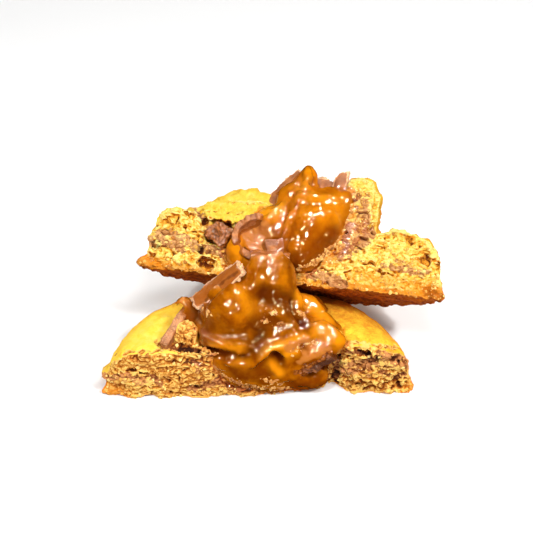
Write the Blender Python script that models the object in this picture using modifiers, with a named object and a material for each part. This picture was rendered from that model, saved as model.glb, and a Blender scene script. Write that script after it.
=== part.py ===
"""A caramel cookie torn in two, its halves piled up and stuck together by their filling.

The front half lies flat with its torn side towards -Y. The back half leans on it, torn side
forward, with its round rim on the surface behind. Caramel has run out of both, and broken
pieces of the chocolate shells that held it stand in it.

Sizes are in millimetres and are turned into metres where Blender takes them. +Z is up.
Each half has its own frame: X along the tear, Y into the cookie, Z up through the cookie.
"""

import math

import bmesh
import bpy
from mathutils import Euler, Matrix, Vector, noise

MM = 0.001

# The whole cookie
COOKIE_RADIUS = 50.8
RIM_STEPS = 48
FOOT_LIP = 2.2
RIM_HEIGHT = 8.0
WOBBLE = 0.010

# The front half, in the frame of the pile
FRONT_HEIGHT = 19.3
FRONT_CENTRE = (-2.3, -7.8)
FRONT_BACK_FLATTENING = 3.5

# The back half, in its own frame, and how that frame stands in the pile
BACK_HEIGHT = 20.4
BACK_RADIUS = 48.7
BACK_CENTRE = (0.0, -2.1)
BACK_PLACE = (7.3, 15.1, 32.9)
BACK_TILT = math.radians(45.5)
BACK_ROLL = math.radians(1.4)
BACK_YAW = math.radians(8.0)

# The tear
TEAR_COLUMNS = 46
TEAR_PITCH = 2.4
TEAR_REACH = 60.0
CRAG_SIZE = 5.0
CRAG_DEPTH = 1.5
CRUMB_SIZE = 2.4
CRUMB_DEPTH = 0.7

# Clear space left between touching solids
GAP = 0.35
SHARP_GAP = 0.5

CRUST = ((0.85, 0.52, 0.13, 1.0), 0.6)
CARAMEL = ((0.62, 0.24, 0.02, 1.0), 0.15)
CHOCOLATE = ((0.33, 0.15, 0.08, 1.0), 0.4)


def clear_scene():
    """Removes whatever the scene holds."""
    for thing in list(bpy.data.objects):
        bpy.data.objects.remove(thing, do_unlink=True)


def new_collection(name):
    """A collection linked to the scene."""
    made = bpy.data.collections.new(name)
    bpy.context.scene.collection.children.link(made)
    return made


def new_material(name, look):
    """A Principled material from a colour and a roughness."""
    colour, roughness = look
    made = bpy.data.materials.new(name)
    made.use_nodes = True
    shader = made.node_tree.nodes["Principled BSDF"]
    shader.inputs["Base Color"].default_value = colour
    shader.inputs["Roughness"].default_value = roughness
    shader.inputs["Metallic"].default_value = 0.0
    return made


def new_empty(name, place, turn, parent, collection):
    """An empty that carries a frame."""
    made = bpy.data.objects.new(name, None)
    made.location = Vector(place) * MM
    made.rotation_euler = turn
    made.parent = parent
    collection.objects.link(made)
    return made


def new_object(name, bm, parent, collection, material=None):
    """An object from a bmesh that is given in millimetres."""
    bmesh.ops.scale(bm, vec=(MM, MM, MM), verts=bm.verts)
    mesh = bpy.data.meshes.new(name)
    bm.to_mesh(mesh)
    bm.free()
    made = bpy.data.objects.new(name, mesh)
    made.parent = parent
    collection.objects.link(made)
    if material:
        mesh.materials.append(material)
    return made


def bake(obj):
    """Makes an object's modifiers part of its mesh."""
    graph = bpy.context.evaluated_depsgraph_get()
    mesh = bpy.data.meshes.new_from_object(obj.evaluated_get(graph))
    obj.modifiers.clear()
    obj.data = mesh
    mesh.shade_smooth()
    mesh.set_sharp_from_angle(angle=math.radians(40))


def hide_as_helper(obj):
    """A helper shapes other objects and isn't part of the cookie."""
    obj.hide_render = True
    obj.display_type = "WIRE"


def cut(target, cutter):
    """Takes the cutter's space out of the target."""
    boolean = target.modifiers.new("Clear of " + cutter.name, "BOOLEAN")
    boolean.operation = "DIFFERENCE"
    boolean.solver = "MANIFOLD"
    boolean.object = cutter


def join(target, helper):
    """Adds the helper's space to the target."""
    boolean = target.modifiers.new("With " + helper.name, "BOOLEAN")
    boolean.operation = "UNION"
    boolean.solver = "MANIFOLD"
    boolean.object = helper


def swollen(obj, gap, collection):
    """A copy of an object's bare shape, larger by a gap all round, to cut its neighbours with."""
    made = bpy.data.objects.new(obj.name + "_room", obj.data)
    made.parent = obj.parent
    made.location = obj.location
    made.rotation_euler = obj.rotation_euler
    collection.objects.link(made)
    hide_as_helper(made)
    displace = made.modifiers.new("Gap", "DISPLACE")
    displace.strength = gap * MM
    displace.mid_level = 0.0
    return made


def between(points, x):
    """The height at x of a smooth line through points that are sorted by x."""
    if x <= points[0][0]:
        return points[0][1]
    for (x0, y0), (x1, y1) in zip(points, points[1:]):
        if x <= x1:
            share = (x - x0) / (x1 - x0)
            return y0 + (y1 - y0) * share * share * (3 - 2 * share)
    return points[-1][1]


def crags(x, z, seed):
    """How far the torn crumb stands out at a point of the tear."""
    lump = noise.noise(Vector((x / CRAG_SIZE, z / CRAG_SIZE * 1.5, seed)))
    crumb = noise.noise(Vector((x / CRUMB_SIZE, z / CRUMB_SIZE, seed + 7.3)))
    return lump * CRAG_DEPTH + crumb * CRUMB_DEPTH


def cookie_profile(radius, height):
    """The outer side of a baked cookie: a low dome, a steep rim and a lip of browned foot."""
    side = radius - FOOT_LIP
    return [
        (0.0, height),
        (radius * 0.10, height),
        (radius * 0.20, height),
        (radius * 0.30, height),
        (radius * 0.40, height - 0.1),
        (radius * 0.50, height - 0.1),
        (radius * 0.59, height - 0.2),
        (radius * 0.68, height - 0.5),
        (radius * 0.77, height - 1.0),
        (radius * 0.86, height - 2.4),
        (side - 1.6, height - 5.0),
        (side - 0.2, height - 9.0),
        (side, RIM_HEIGHT - 2.0),
        (side + 0.8, 3.2),
        (radius, 1.7),
        (radius - 0.5, 0.5),
        (radius - 1.6, 0.0),
        (0.0, 0.0),
    ]


def turned_cookie(name, radius, height, parent, collection, material):
    """The whole round cookie before it is torn, turned from its profile."""
    bm = bmesh.new()
    ring = [bm.verts.new((r, 0.0, z)) for r, z in cookie_profile(radius, height)]
    for upper, lower in zip(ring, ring[1:]):
        bm.edges.new((upper, lower))
    obj = new_object(name, bm, parent, collection, material)
    screw = obj.modifiers.new("Turn", "SCREW")
    screw.steps = RIM_STEPS
    screw.render_steps = RIM_STEPS
    screw.use_merge_vertices = True
    screw.merge_threshold = 0.00001
    bake(obj)
    return obj


def weather_crust(obj, centre, seed, swellings=(), back_flattening=0.0):
    """Makes the turned shape uneven, as dough bakes, and moves it to its centre.

    Each swelling is a place, its reach along X and Y, and a rise, which is negative for a dip.
    """
    for vertex in obj.data.vertices:
        x, y, z = vertex.co / MM
        angle = Vector((x, y, 0.0)).normalized() if abs(x) + abs(y) > 0.01 else Vector()
        wobble = 1.0 + WOBBLE * noise.noise(Vector((angle.x * 2.1, angle.y * 2.1, seed)))
        if y > 0:
            wobble -= back_flattening / COOKIE_RADIUS * angle.y**4
        swell = noise.noise(Vector((x / 13.0, y / 13.0, seed + 3.0)))
        rise = 0.7 * swell
        for place_x, place_y, reach_x, reach_y, lift in swellings:
            away = math.hypot(
                (x + centre[0] - place_x) / reach_x, (y + centre[1] - place_y) / reach_y
            )
            rise += lift * math.exp(-(away**2.6))
        rise *= min(1.0, z / RIM_HEIGHT)
        vertex.co = Vector((x * wobble + centre[0], y * wobble + centre[1], z + rise)) * MM


def tear_tool(name, line, seed, height, parent, collection):
    """A block with a craggy back that takes away everything in front of the tear.

    line gives the tear's place along the cookie.
    """
    rows = round(height / TEAR_PITCH)
    bm = bmesh.new()
    bmesh.ops.create_grid(bm, x_segments=TEAR_COLUMNS, y_segments=rows, size=0.5)
    for vertex in bm.verts:
        x = vertex.co.x * TEAR_COLUMNS * TEAR_PITCH
        z = vertex.co.y * height + height / 2 - 2.0
        vertex.co = Vector((x, between(line, x) + crags(x, z, seed), z))
    grid = bm.verts[:] + bm.edges[:] + bm.faces[:]
    front = bmesh.ops.extrude_face_region(bm, geom=grid, use_keep_orig=True)
    for element in front["geom"]:
        if isinstance(element, bmesh.types.BMVert):
            element.co.y = -TEAR_REACH
    bmesh.ops.recalc_face_normals(bm, faces=bm.faces)
    tool = new_object(name, bm, parent, collection)
    hide_as_helper(tool)
    return tool


def ball(bm, centre, radii, tilt=0.0, segments=20):
    """Adds an ellipsoid to a bmesh, turned about X."""
    matrix = Matrix.Translation(centre) @ Matrix.Rotation(math.radians(tilt), 4, "X")
    matrix = matrix @ Matrix.Diagonal((*radii, 1.0))
    bmesh.ops.create_uvsphere(
        bm, u_segments=segments, v_segments=segments // 2, radius=1.0, matrix=matrix
    )


def caramel(name, blobs, triangles, parent, collection, material):
    """One body of set caramel: round blobs that have run together."""
    bm = bmesh.new()
    for blob in blobs:
        ball(bm, *blob)
    obj = new_object(name, bm, parent, collection, material)
    remesh = obj.modifiers.new("Run together", "REMESH")
    remesh.mode = "VOXEL"
    remesh.voxel_size = 1.0 * MM
    smooth = obj.modifiers.new("Surface tension", "SMOOTH")
    smooth.iterations = 6
    bake(obj)
    thin = obj.modifiers.new("Fewer faces", "DECIMATE")
    thin.ratio = triangles / (2 * len(obj.data.polygons))
    bake(obj)
    return obj


def facing(along, face):
    """The rotation that lays X along one direction and Z along the nearest square to another."""
    x = Vector(along).normalized()
    y = Vector(face).cross(x).normalized()
    z = x.cross(y)
    return Matrix((x, y, z)).transposed().to_euler()


def shard(name, size, place, along, face, curl, jag, parent, collection, material):
    """A broken piece of chocolate shell: a curled plate with ragged, slightly rounded edges.

    size is (length, width, thickness), and curl the radius that it is bent to across its width.
    """
    length, width, thickness = size
    bm = bmesh.new()
    bmesh.ops.create_grid(bm, x_segments=6, y_segments=3, size=0.5)
    seed = length + width
    for vertex in bm.verts:
        u, v = vertex.co.x * 2, vertex.co.y * 2
        ragged = noise.noise(Vector((u * 2.1, v * 2.1, seed))) * jag
        half = width / 2 * (1 - 0.28 * u * u) + ragged * abs(v)
        x = u * length / 2 + ragged * abs(u)
        angle = v * half / curl
        vertex.co = Vector((x, curl * math.sin(angle), curl * (math.cos(angle) - 1)))
    obj = new_object(name, bm, parent, collection, material)
    obj.location = Vector(place) * MM
    obj.rotation_euler = facing(along, face)
    solidify = obj.modifiers.new("Thickness", "SOLIDIFY")
    solidify.thickness = thickness * MM
    solidify.offset = 0.0
    bevel = obj.modifiers.new("Soft edges", "BEVEL")
    bevel.width = 0.22 * thickness * MM
    bevel.segments = 1
    bevel.limit_method = "ANGLE"
    bake(obj)
    return obj


def bowl(name, radii, thickness, place, around, depth, jag, parent, collection, material):
    """A broken piece of a round chocolate shell that opens forward, with soft edges.

    around is the span of its rim, counted from +X, and depth that from its bottom to its rim,
    in degrees.
    """
    bm = bmesh.new()
    bmesh.ops.create_grid(bm, x_segments=14, y_segments=4, size=0.5)
    for vertex in bm.verts:
        u, v = vertex.co.x + 0.5, vertex.co.y + 0.5
        turn = math.radians(around[0] + (around[1] - around[0]) * u)
        deep = math.radians(depth[0] + (depth[1] - depth[0]) * v)
        ragged = noise.noise(Vector((u * 6.0, v * 2.0, radii[0]))) * jag * v
        vertex.co = Vector((
            radii[0] * math.sin(deep) * math.cos(turn),
            radii[1] * math.cos(deep) + ragged,
            radii[2] * math.sin(deep) * math.sin(turn),
        ))
    obj = new_object(name, bm, parent, collection, material)
    obj.location = Vector(place) * MM
    solidify = obj.modifiers.new("Thickness", "SOLIDIFY")
    solidify.thickness = thickness * MM
    solidify.offset = 0.0
    bevel = obj.modifiers.new("Soft edges", "BEVEL")
    bevel.width = 0.22 * thickness * MM
    bevel.segments = 1
    bevel.limit_method = "ANGLE"
    bake(obj)
    return obj


def chunk(name, size, place, turn, seed, parent, collection, material):
    """A chunk of solid chocolate with melted corners."""
    bm = bmesh.new()
    bmesh.ops.create_cube(bm, size=1.0)
    bmesh.ops.scale(bm, vec=size, verts=bm.verts)
    bmesh.ops.bevel(
        bm, geom=bm.edges[:], offset=0.14 * min(size), segments=1, affect="EDGES"
    )
    bmesh.ops.subdivide_edges(
        bm, edges=[e for e in bm.edges if e.calc_length() > 0.4 * min(size)], cuts=1,
        use_grid_fill=True,
    )
    for vertex in bm.verts:
        push = noise.noise(vertex.co * 0.28 + Vector((seed, 0.0, 0.0)))
        vertex.co += vertex.co.normalized() * push * 0.14 * min(size)
    obj = new_object(name, bm, parent, collection, material)
    obj.location = Vector(place) * MM
    obj.rotation_euler = Euler([math.radians(a) for a in turn])
    bake(obj)
    return obj


def melted_layer(name, centre, radii, seed, parent, collection, material):
    """A flat pocket of chocolate that melted inside the dough."""
    bm = bmesh.new()
    ball(bm, (0.0, 0.0, 0.0), radii, segments=12)
    for vertex in bm.verts:
        wave = noise.noise(Vector((vertex.co.x / 5.0, vertex.co.y / 5.0, seed)))
        vertex.co.z += wave * radii[2] * 0.9
        vertex.co += Vector(centre)
    return new_object(name, bm, parent, collection, material)


# ---------------------------------------------------------------- the front half

FRONT_TEAR = [
    (-56, -0.8), (-50, -0.8), (-42, -2.2), (-25, -2.4), (-8, -1.6), (5, -0.6),
    (14, 1.2), (20.5, 4.2), (26, 0.4), (34, -0.6), (42, 0.2), (56, 1.6),
]
FRONT_SWELLINGS = [(27.0, 4.0, 7.0, 6.0, 1.2), (-25.0, 8.0, 9.0, 9.0, -0.8)]

# The lump of crumb that was pulled up beside the caramel: its centre and its radii
FRONT_LUMP = ((-25.6, 5.2, 20.6), (4.6, 4.4, 5.0))

# Each blob: centre, radii, and tilt about X in degrees
FRONT_CARAMEL = [
    ((-10.8, 11.0, 26.8), (9.8, 9.0, 9.6)),
    ((-9.0, 10.5, 18.0), (13.0, 10.5, 9.0)),
    ((2.0, 10.0, 23.0), (11.0, 8.5, 8.0)),
    ((-2.0, 13.4, 33.4), (5.6, 4.4, 10.4), -8.0),
    ((3.8, 13.6, 33.8), (5.6, 4.4, 10.4), -8.0),
    ((12.0, 15.5, 20.6), (7.4, 6.6, 5.4)),
    ((9.0, 8.0, 20.6), (8.0, 7.0, 5.4)),
    ((17.4, 6.6, 19.4), (6.6, 6.0, 4.6)),
    ((19.4, 3.0, 18.4), (4.8, 3.8, 4.0)),
    ((-14.5, 4.6, 19.2), (6.6, 5.0, 4.8)),
    ((-12.0, 1.6, 14.8), (6.4, 4.2, 5.8)),
    ((-7.0, 1.8, 18.0), (9.0, 4.8, 4.8)),
    ((0.0, 3.0, 18.0), (9.0, 4.8, 4.6)),
    ((-6.5, 1.0, 11.6), (8.6, 3.8, 9.2)),
    ((1.0, 1.0, 8.6), (8.6, 3.6, 7.6)),
    ((6.0, 1.8, 13.6), (8.6, 4.8, 8.0)),
    ((13.0, 3.0, 15.5), (8.0, 4.8, 5.0)),
    ((11.4, 3.0, 5.9), (8.4, 4.2, 5.4)),
    ((-24.6, 11.8, 22.6), (3.2, 3.0, 4.4)),
    ((-26.2, 12.2, 26.4), (2.6, 2.6, 2.8)),
]


def build_front(frame, parts, helpers, looks):
    """The half that lies flat: dough, its caramel and the chocolate that stands in it."""
    brown, golden, amber = looks["chocolate"], looks["crust"], looks["caramel"]
    dough = turned_cookie(
        "front_dough", COOKIE_RADIUS, FRONT_HEIGHT, frame, parts, golden
    )
    weather_crust(dough, FRONT_CENTRE, 1.7, FRONT_SWELLINGS, FRONT_BACK_FLATTENING)
    join(dough, lump("crumb_lump", *FRONT_LUMP, 1.0, frame, helpers))
    tear = tear_tool("front_tear", FRONT_TEAR, 4.2, 26.0, frame, helpers)
    filling = caramel("front_caramel", FRONT_CARAMEL, 1350, frame, parts, amber)

    standing = [
        shard(
            "chocolate_wall_left", (15.0, 9.5, 2.5), (-29.5, 7.2, 22.8),
            (0.46, 0.83, 0.28), (-0.86, 0.46, 0.16), 30.0, 0.8, frame, parts, brown,
        ),
        shard(
            "chocolate_shell_front", (20.0, 7.4, 2.4), (-15.2, 12.4, 34.2),
            (0.75, 0.12, 0.64), (-0.50, -0.60, 0.62), 12.0, 0.8, frame, parts, brown,
        ),
        chunk(
            "chocolate_block_middle", (12.2, 4.6, 14.0), (0.8, 17.0, 35.4),
            (-14.0, 2.0, -3.0), 2.0, frame, parts, brown,
        ),
        chunk(
            "chocolate_chunk_front", (11.5, 5.5, 6.0), (16.4, 1.2, 12.4),
            (8.0, -26.0, 8.0), 5.0, frame, parts, brown,
        ),
    ]
    layers = [
        melted_layer(
            "melted_chocolate_front_left", (-42.3, 1.6, 7.2), (10.4, 7.0, 1.6), 0.4,
            frame, parts, brown,
        ),
        melted_layer(
            "melted_chocolate_front_right", (33.6, 2.6, 10.2), (10.2, 6.0, 3.4), 2.9,
            frame, parts, brown,
        ),
    ]
    return dough, tear, filling, standing, layers


# ---------------------------------------------------------------- the back half

BACK_TEAR = [
    (-54, 0.4), (-44, 0.2), (-36, -0.6), (-30, 0.6), (-25, 2.2), (-18, 2.0),
    (0, 3.0), (14, 1.6), (22, 0.2), (34, -0.4), (44, 0.4), (54, 0.2),
]
BACK_SWELLINGS = [
    (-17.6, 16.5, 16.4, 11.0, 10.8), (-23.0, -1.0, 9.0, 8.0, -3.4),
    (-38.0, 2.0, 8.0, 8.0, 0.6), (22.0, 2.0, 7.0, 7.0, -2.6), (33.0, 3.0, 8.0, 8.0, 0.8),
]

# The flap of dough that was bent up beside the filling, and the crust on its far side
FLAP = ((18.0, 9.5, 22.6), (5.6, 7.5, 15.2))
FLAP_CRUST = ((22.2, 10.4, 20.6), (2.9, 6.0, 12.8))
FLAP_LEAN = 3.0

BACK_CARAMEL = [
    ((4.0, 6.0, 20.0), (11.0, 8.0, 13.0)),
    ((10.2, 7.0, 26.4), (6.8, 6.5, 6.4)),
    ((-0.5, 8.0, 27.0), (7.6, 6.5, 7.0)),
    ((1.0, 7.5, 33.6), (3.2, 3.2, 5.8)),
    ((2.6, 3.6, 10.4), (6.2, 5.5, 6.4)),
    ((-8.0, 5.0, 18.0), (6.6, 5.5, 6.6)),
    ((-17.8, 2.2, 9.2), (3.8, 3.8, 5.4)),
    ((-14.6, 4.8, 5.4), (6.6, 4.6, 3.6)),
    ((-8.5, 4.0, 10.0), (8.0, 4.5, 6.6)),
    ((-10.8, 5.6, 13.4), (7.4, 5.4, 6.4)),
]


def lump(name, centre, radii, roughness, parent, collection):
    """A rounded rise of dough."""
    bm = bmesh.new()
    ball(bm, centre, radii, segments=12)
    for vertex in bm.verts:
        vertex.co.z += roughness * noise.noise(vertex.co / (1.6 * min(radii) ** 0.5))
    made = new_object(name, bm, parent, collection)
    hide_as_helper(made)
    return made


def flap(name, centre, reach, parent, collection):
    """A slab of dough that stands up: reach gives its half sizes."""
    bm = bmesh.new()
    bmesh.ops.create_cube(bm, size=2.0)
    bmesh.ops.subdivide_edges(bm, edges=bm.edges[:], cuts=3, use_grid_fill=True)
    for vertex in bm.verts:
        x, y, z = vertex.co
        vertex.co = Vector((
            x * (1 - 0.16 * y * y - 0.14 * z * z) * reach[0],
            y * (1 - 0.35 * max(0.0, z) ** 2) * reach[1],
            z * (1 - 0.08 * x * x - 0.10 * y * y) * reach[2],
        ))
        vertex.co += vertex.co.normalized() * 0.7 * noise.noise(vertex.co / 4.0)
    bmesh.ops.rotate(
        bm, matrix=Matrix.Rotation(math.radians(FLAP_LEAN), 3, "Y"), verts=bm.verts
    )
    bmesh.ops.translate(bm, vec=centre, verts=bm.verts)
    made = new_object(name, bm, parent, collection)
    hide_as_helper(made)
    return made


def build_back(frame, parts, helpers, looks):
    """The half that leans: dough with its swollen, torn crust, caramel and chocolate."""
    brown, golden, amber = looks["chocolate"], looks["crust"], looks["caramel"]
    dough = turned_cookie("back_dough", BACK_RADIUS, BACK_HEIGHT, frame, parts, golden)
    weather_crust(dough, BACK_CENTRE, 6.1, BACK_SWELLINGS)
    join(dough, flap("raised_flap", *FLAP, frame, helpers))
    join(dough, flap("raised_crust", *FLAP_CRUST, frame, helpers))
    tear = tear_tool("back_tear", BACK_TEAR, 9.4, 46.0, frame, helpers)
    filling = caramel("back_caramel", BACK_CARAMEL, 900, frame, parts, amber)

    standing = [
        bowl(
            "chocolate_shell_back", (7.4, 6.8, 6.4), 2.4, (-11.6, -1.4, 13.3),
            (84.0, 280.0), (26.0, 86.0), 1.2, frame, parts, brown,
        ),
        chunk(
            "chocolate_flake_back", (6.0, 2.4, 4.6), (-6.2, 0.2, 11.2),
            (6.0, -14.0, 4.0), 3.3, frame, parts, brown,
        ),
        shard(
            "chocolate_peak_back", (15.0, 8.0, 2.4), (-4.6, 10.8, 30.6),
            (0.62, 0.0, 0.78), (-0.50, -0.80, 0.30), 10.0, 0.9, frame, parts, brown,
        ),
        shard(
            "chocolate_rim_back", (10.5, 10.0, 2.6), (5.6, 11.6, 31.4),
            (1.0, 0.0, 0.0), (0.0, -0.98, 0.20), 9.0, 0.9, frame, parts, brown,
        ),
        shard(
            "chocolate_prong_back", (12.0, 4.8, 2.6), (11.4, 8.4, 33.2),
            (0.10, 0.16, 1.0), (0.60, -0.80, 0.10), 12.0, 0.7, frame, parts, brown,
        ),
        chunk(
            "chocolate_chunk_back", (7.0, 6.0, 6.2), (-24.2, 2.6, 13.5),
            (0.0, 10.0, -6.0), 7.7, frame, parts, brown,
        ),
    ]
    layers = [
        melted_layer(
            "melted_chocolate_back_left", (-37.4, 3.0, 8.8), (8.4, 6.0, 2.3), 5.5,
            frame, parts, brown,
        ),
        melted_layer(
            "melted_chocolate_back_right", (35.6, 3.0, 8.8), (8.6, 6.0, 1.9), 8.1,
            frame, parts, brown,
        ),
    ]
    return dough, tear, filling, standing, layers


def fit_together(halves, helpers):
    """Cuts every piece clear of the ones that lie in or against it."""
    rooms = []
    for dough, tear, filling, standing, layers in halves:
        own_rooms = [swollen(piece, SHARP_GAP, helpers) for piece in standing]
        rooms.append((swollen(dough, GAP, helpers), swollen(filling, GAP, helpers), own_rooms))

    for (dough, tear, filling, standing, layers), (_, room, own_rooms) in zip(halves, rooms):
        cut(dough, tear)
        for layer in layers:
            cut(dough, swollen(layer, GAP, helpers))
            cut(layer, tear)
            cut(layer, room)
        cut(dough, room)
        for other in own_rooms:
            cut(dough, other)
            cut(filling, other)

    # The back half rests on the front one
    front_dough, back_dough, back_filling = halves[0][0], halves[1][0], halves[1][2]
    for other in [rooms[0][1], *rooms[0][2]]:
        cut(back_dough, other)
        cut(back_filling, other)
    cut(front_dough, rooms[1][0])


def stand_at_origin(pile, parts):
    """Moves the pile so that the origin is under its middle, on the surface it stands on."""
    graph = bpy.context.evaluated_depsgraph_get()
    points = []
    for obj in parts.objects:
        if obj.type == "MESH":
            shown = obj.evaluated_get(graph)
            points += [shown.matrix_world @ vertex.co for vertex in shown.to_mesh().vertices]
            shown.to_mesh_clear()
    low = [min(point[axis] for point in points) for axis in range(3)]
    high = [max(point[axis] for point in points) for axis in range(3)]
    pile.location = (-(low[0] + high[0]) / 2, -(low[1] + high[1]) / 2, -low[2])


def main():
    """Builds the whole pile."""
    clear_scene()
    parts = new_collection("caramel_cookie")
    helpers = new_collection("helpers")
    looks = {
        "crust": new_material("crust", CRUST),
        "caramel": new_material("caramel", CARAMEL),
        "chocolate": new_material("chocolate", CHOCOLATE),
    }
    pile = new_empty("pile", (0.0, 0.0, 0.0), (0.0, 0.0, 0.0), None, parts)
    front_frame = new_empty("front_half", (0.0, 0.0, 0.0), (0.0, 0.0, 0.0), pile, parts)
    turn = (
        Matrix.Rotation(-BACK_YAW, 3, "Z")
        @ Matrix.Rotation(-BACK_TILT, 3, "X")
        @ Matrix.Rotation(BACK_ROLL, 3, "Y")
    )
    back_frame = new_empty("back_half", BACK_PLACE, turn.to_euler(), pile, parts)
    halves = [
        build_front(front_frame, parts, helpers, looks),
        build_back(back_frame, parts, helpers, looks),
    ]
    fit_together(halves, helpers)
    stand_at_origin(pile, parts)


main()
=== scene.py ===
"""The looks of a caramel cookie torn in two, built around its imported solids.

Lengths are in millimetres until they reach Blender. A pixel is a place in the 533 x 533
photograph: it becomes a ray from the camera, and a mark that is given by pixels is made where
that ray meets the piece, so it sits on the piece seen from any side.
"""

import logging
import math
from dataclasses import dataclass, field
from enum import Enum
from typing import Sequence

import bpy
import numpy as np
from mathutils import Matrix, Vector, noise
from mathutils.bvhtree import BVHTree


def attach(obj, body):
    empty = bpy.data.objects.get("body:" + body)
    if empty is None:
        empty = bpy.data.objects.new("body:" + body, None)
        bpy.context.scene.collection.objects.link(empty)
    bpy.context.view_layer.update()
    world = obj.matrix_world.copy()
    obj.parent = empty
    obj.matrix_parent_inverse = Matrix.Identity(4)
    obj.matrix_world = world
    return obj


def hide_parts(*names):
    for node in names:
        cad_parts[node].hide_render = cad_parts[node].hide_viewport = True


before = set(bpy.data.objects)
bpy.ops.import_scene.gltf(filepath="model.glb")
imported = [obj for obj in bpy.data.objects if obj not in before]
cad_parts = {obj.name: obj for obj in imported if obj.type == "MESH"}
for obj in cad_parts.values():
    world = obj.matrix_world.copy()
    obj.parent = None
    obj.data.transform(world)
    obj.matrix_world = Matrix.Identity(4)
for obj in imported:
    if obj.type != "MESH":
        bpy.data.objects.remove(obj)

LOG = logging.getLogger("caramel_cookie")

MM = 0.001
BODY = "root"
PHOTO_SIDE = 533
TINY = 1e-9

# The gap that keeps the pieces off the floor, and that within which points are one, in mm
FLOOR_GAP = 0.02
DOUBLES_GAP = 0.002

# How far the pile was moved so that the origin is under its middle, in mm
PILE_SHIFT = (-1.552, -26.404, 0.0)

# How finely a stroke is laid, in pixels, and the size and seed of its ragged edge, in mm
STROKE_PITCH = 1.6
STROKE_GRAIN = 1.6
STROKE_SEED = 3.0

Pixel = tuple[float, float]
Bearing = tuple[float, float]
Colour = tuple[float, float, float, float]
Triple = tuple[float, float, float]

WHITE: Colour = (1.0, 1.0, 1.0, 1.0)


# -------- hand work in Blender


def select_only(piece: bpy.types.Object) -> None:
    """Makes a piece the only selected one, and the active one.

    Args:
        piece: The piece to work on.
    """
    bpy.ops.object.select_all(action="DESELECT")
    piece.select_set(True)
    bpy.context.view_layer.objects.active = piece


def finish_with(piece: bpy.types.Object, kind: str, **settings: object) -> None:
    """Adds a modifier to a piece and applies it.

    Args:
        piece: The piece to change.
        kind: The modifier's type.
        **settings: The modifier's settings.
    """
    select_only(piece)
    modifier = piece.modifiers.new(kind.title(), kind)
    for name, value in settings.items():
        setattr(modifier, name, value)
    bpy.ops.object.modifier_apply(modifier=modifier.name)


def copy_of_node(node: str, name: str) -> bpy.types.Object:
    """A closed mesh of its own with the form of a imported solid.

    Args:
        node: The solid's node.
        name: The new piece's name.

    Returns:
        The new piece, with its doubled points merged.
    """
    piece = bpy.data.objects.new(name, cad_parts[node].data.copy())
    piece.data.name = name
    piece.data.materials.clear()
    bpy.context.scene.collection.objects.link(piece)
    select_only(piece)
    bpy.ops.object.mode_set(mode="EDIT")
    bpy.ops.mesh.select_all(action="SELECT")
    bpy.ops.mesh.remove_doubles(threshold=DOUBLES_GAP * MM)
    bpy.ops.object.mode_set(mode="OBJECT")
    return piece


def new_primitive(name: str) -> bpy.types.Object:
    """Names the primitive that was just added.

    Args:
        name: The piece's name.

    Returns:
        The active object.
    """
    piece = bpy.context.active_object
    piece.name = name
    piece.data.name = name
    return piece


def hand_over(
    piece: bpy.types.Object, finish: bpy.types.Material, node: str | None = None
) -> None:
    """Gives a piece its material, puts it in the body and hides the solid that it replaces.

    Args:
        piece: The finished piece.
        finish: Its material.
        node: The solid that it replaces, if there is one.
    """
    piece.data.materials.append(finish)
    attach(piece, BODY)
    if node:
        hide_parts(node)


def split_marked_faces(piece: bpy.types.Object, marked: np.ndarray) -> None:
    """Subdivides the faces that are marked, once.

    Args:
        piece: The piece to refine.
        marked: One truth value for each face.
    """
    mesh = piece.data
    mesh.polygons.foreach_set("select", marked)
    select_only(piece)
    bpy.ops.object.mode_set(mode="EDIT")
    bpy.ops.mesh.select_mode(type="FACE")
    bpy.ops.object.mode_set(mode="OBJECT")
    mesh.polygons.foreach_set("select", marked)
    bpy.ops.object.mode_set(mode="EDIT")
    bpy.ops.mesh.subdivide(number_cuts=1)
    bpy.ops.object.mode_set(mode="OBJECT")


# -------- rules on arrays of points


def smooth_step(values: np.ndarray, low: float, high: float) -> np.ndarray:
    """A smooth rise from 0 at low to 1 at high.

    Args:
        values: The values to map.
        low: Where the rise starts.
        high: Where it ends, which may be below low.

    Returns:
        Shares from 0 to 1.
    """
    share = np.clip((values - low) / (high - low), 0.0, 1.0)
    return share * share * (3.0 - 2.0 * share)


def waves(points: np.ndarray, size: float, seed: float) -> np.ndarray:
    """Smooth noise from about -1 to 1.

    Args:
        points: Places, in millimetres.
        size: The noise's size, in millimetres.
        seed: Moves the pattern.

    Returns:
        One value for each point.
    """
    return np.array([noise.noise(place) for place in (points / size + seed).tolist()])


def grains(points: np.ndarray, size: float, seed: float) -> np.ndarray:
    """Rounded grains with narrow gaps between them.

    Args:
        points: Places, in millimetres.
        size: The grains' size, in millimetres.
        seed: Moves the pattern.

    Returns:
        0 in a gap, up to 1 on a grain.
    """
    widest = 0.55
    gaps = np.empty(len(points))
    for index, place in enumerate((points / size + seed).tolist()):
        near = noise.voronoi(place)[0]
        gaps[index] = near[1] - near[0]
    return smooth_step(gaps, 0.0, widest)


def clods(points: np.ndarray, size: float, seed: float) -> np.ndarray:
    """Soft clods of every size with sharp gaps between them.

    Args:
        points: Places, in millimetres.
        size: The largest clods' size, in millimetres.
        seed: Moves the pattern.

    Returns:
        About 0 in a gap, up to 1 on a clod.
    """
    places = (points / size + seed).tolist()
    return np.array([
        noise.turbulence(place, 4, True, amplitude_scale=0.55, frequency_scale=2.1)
        for place in places
    ])


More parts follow.
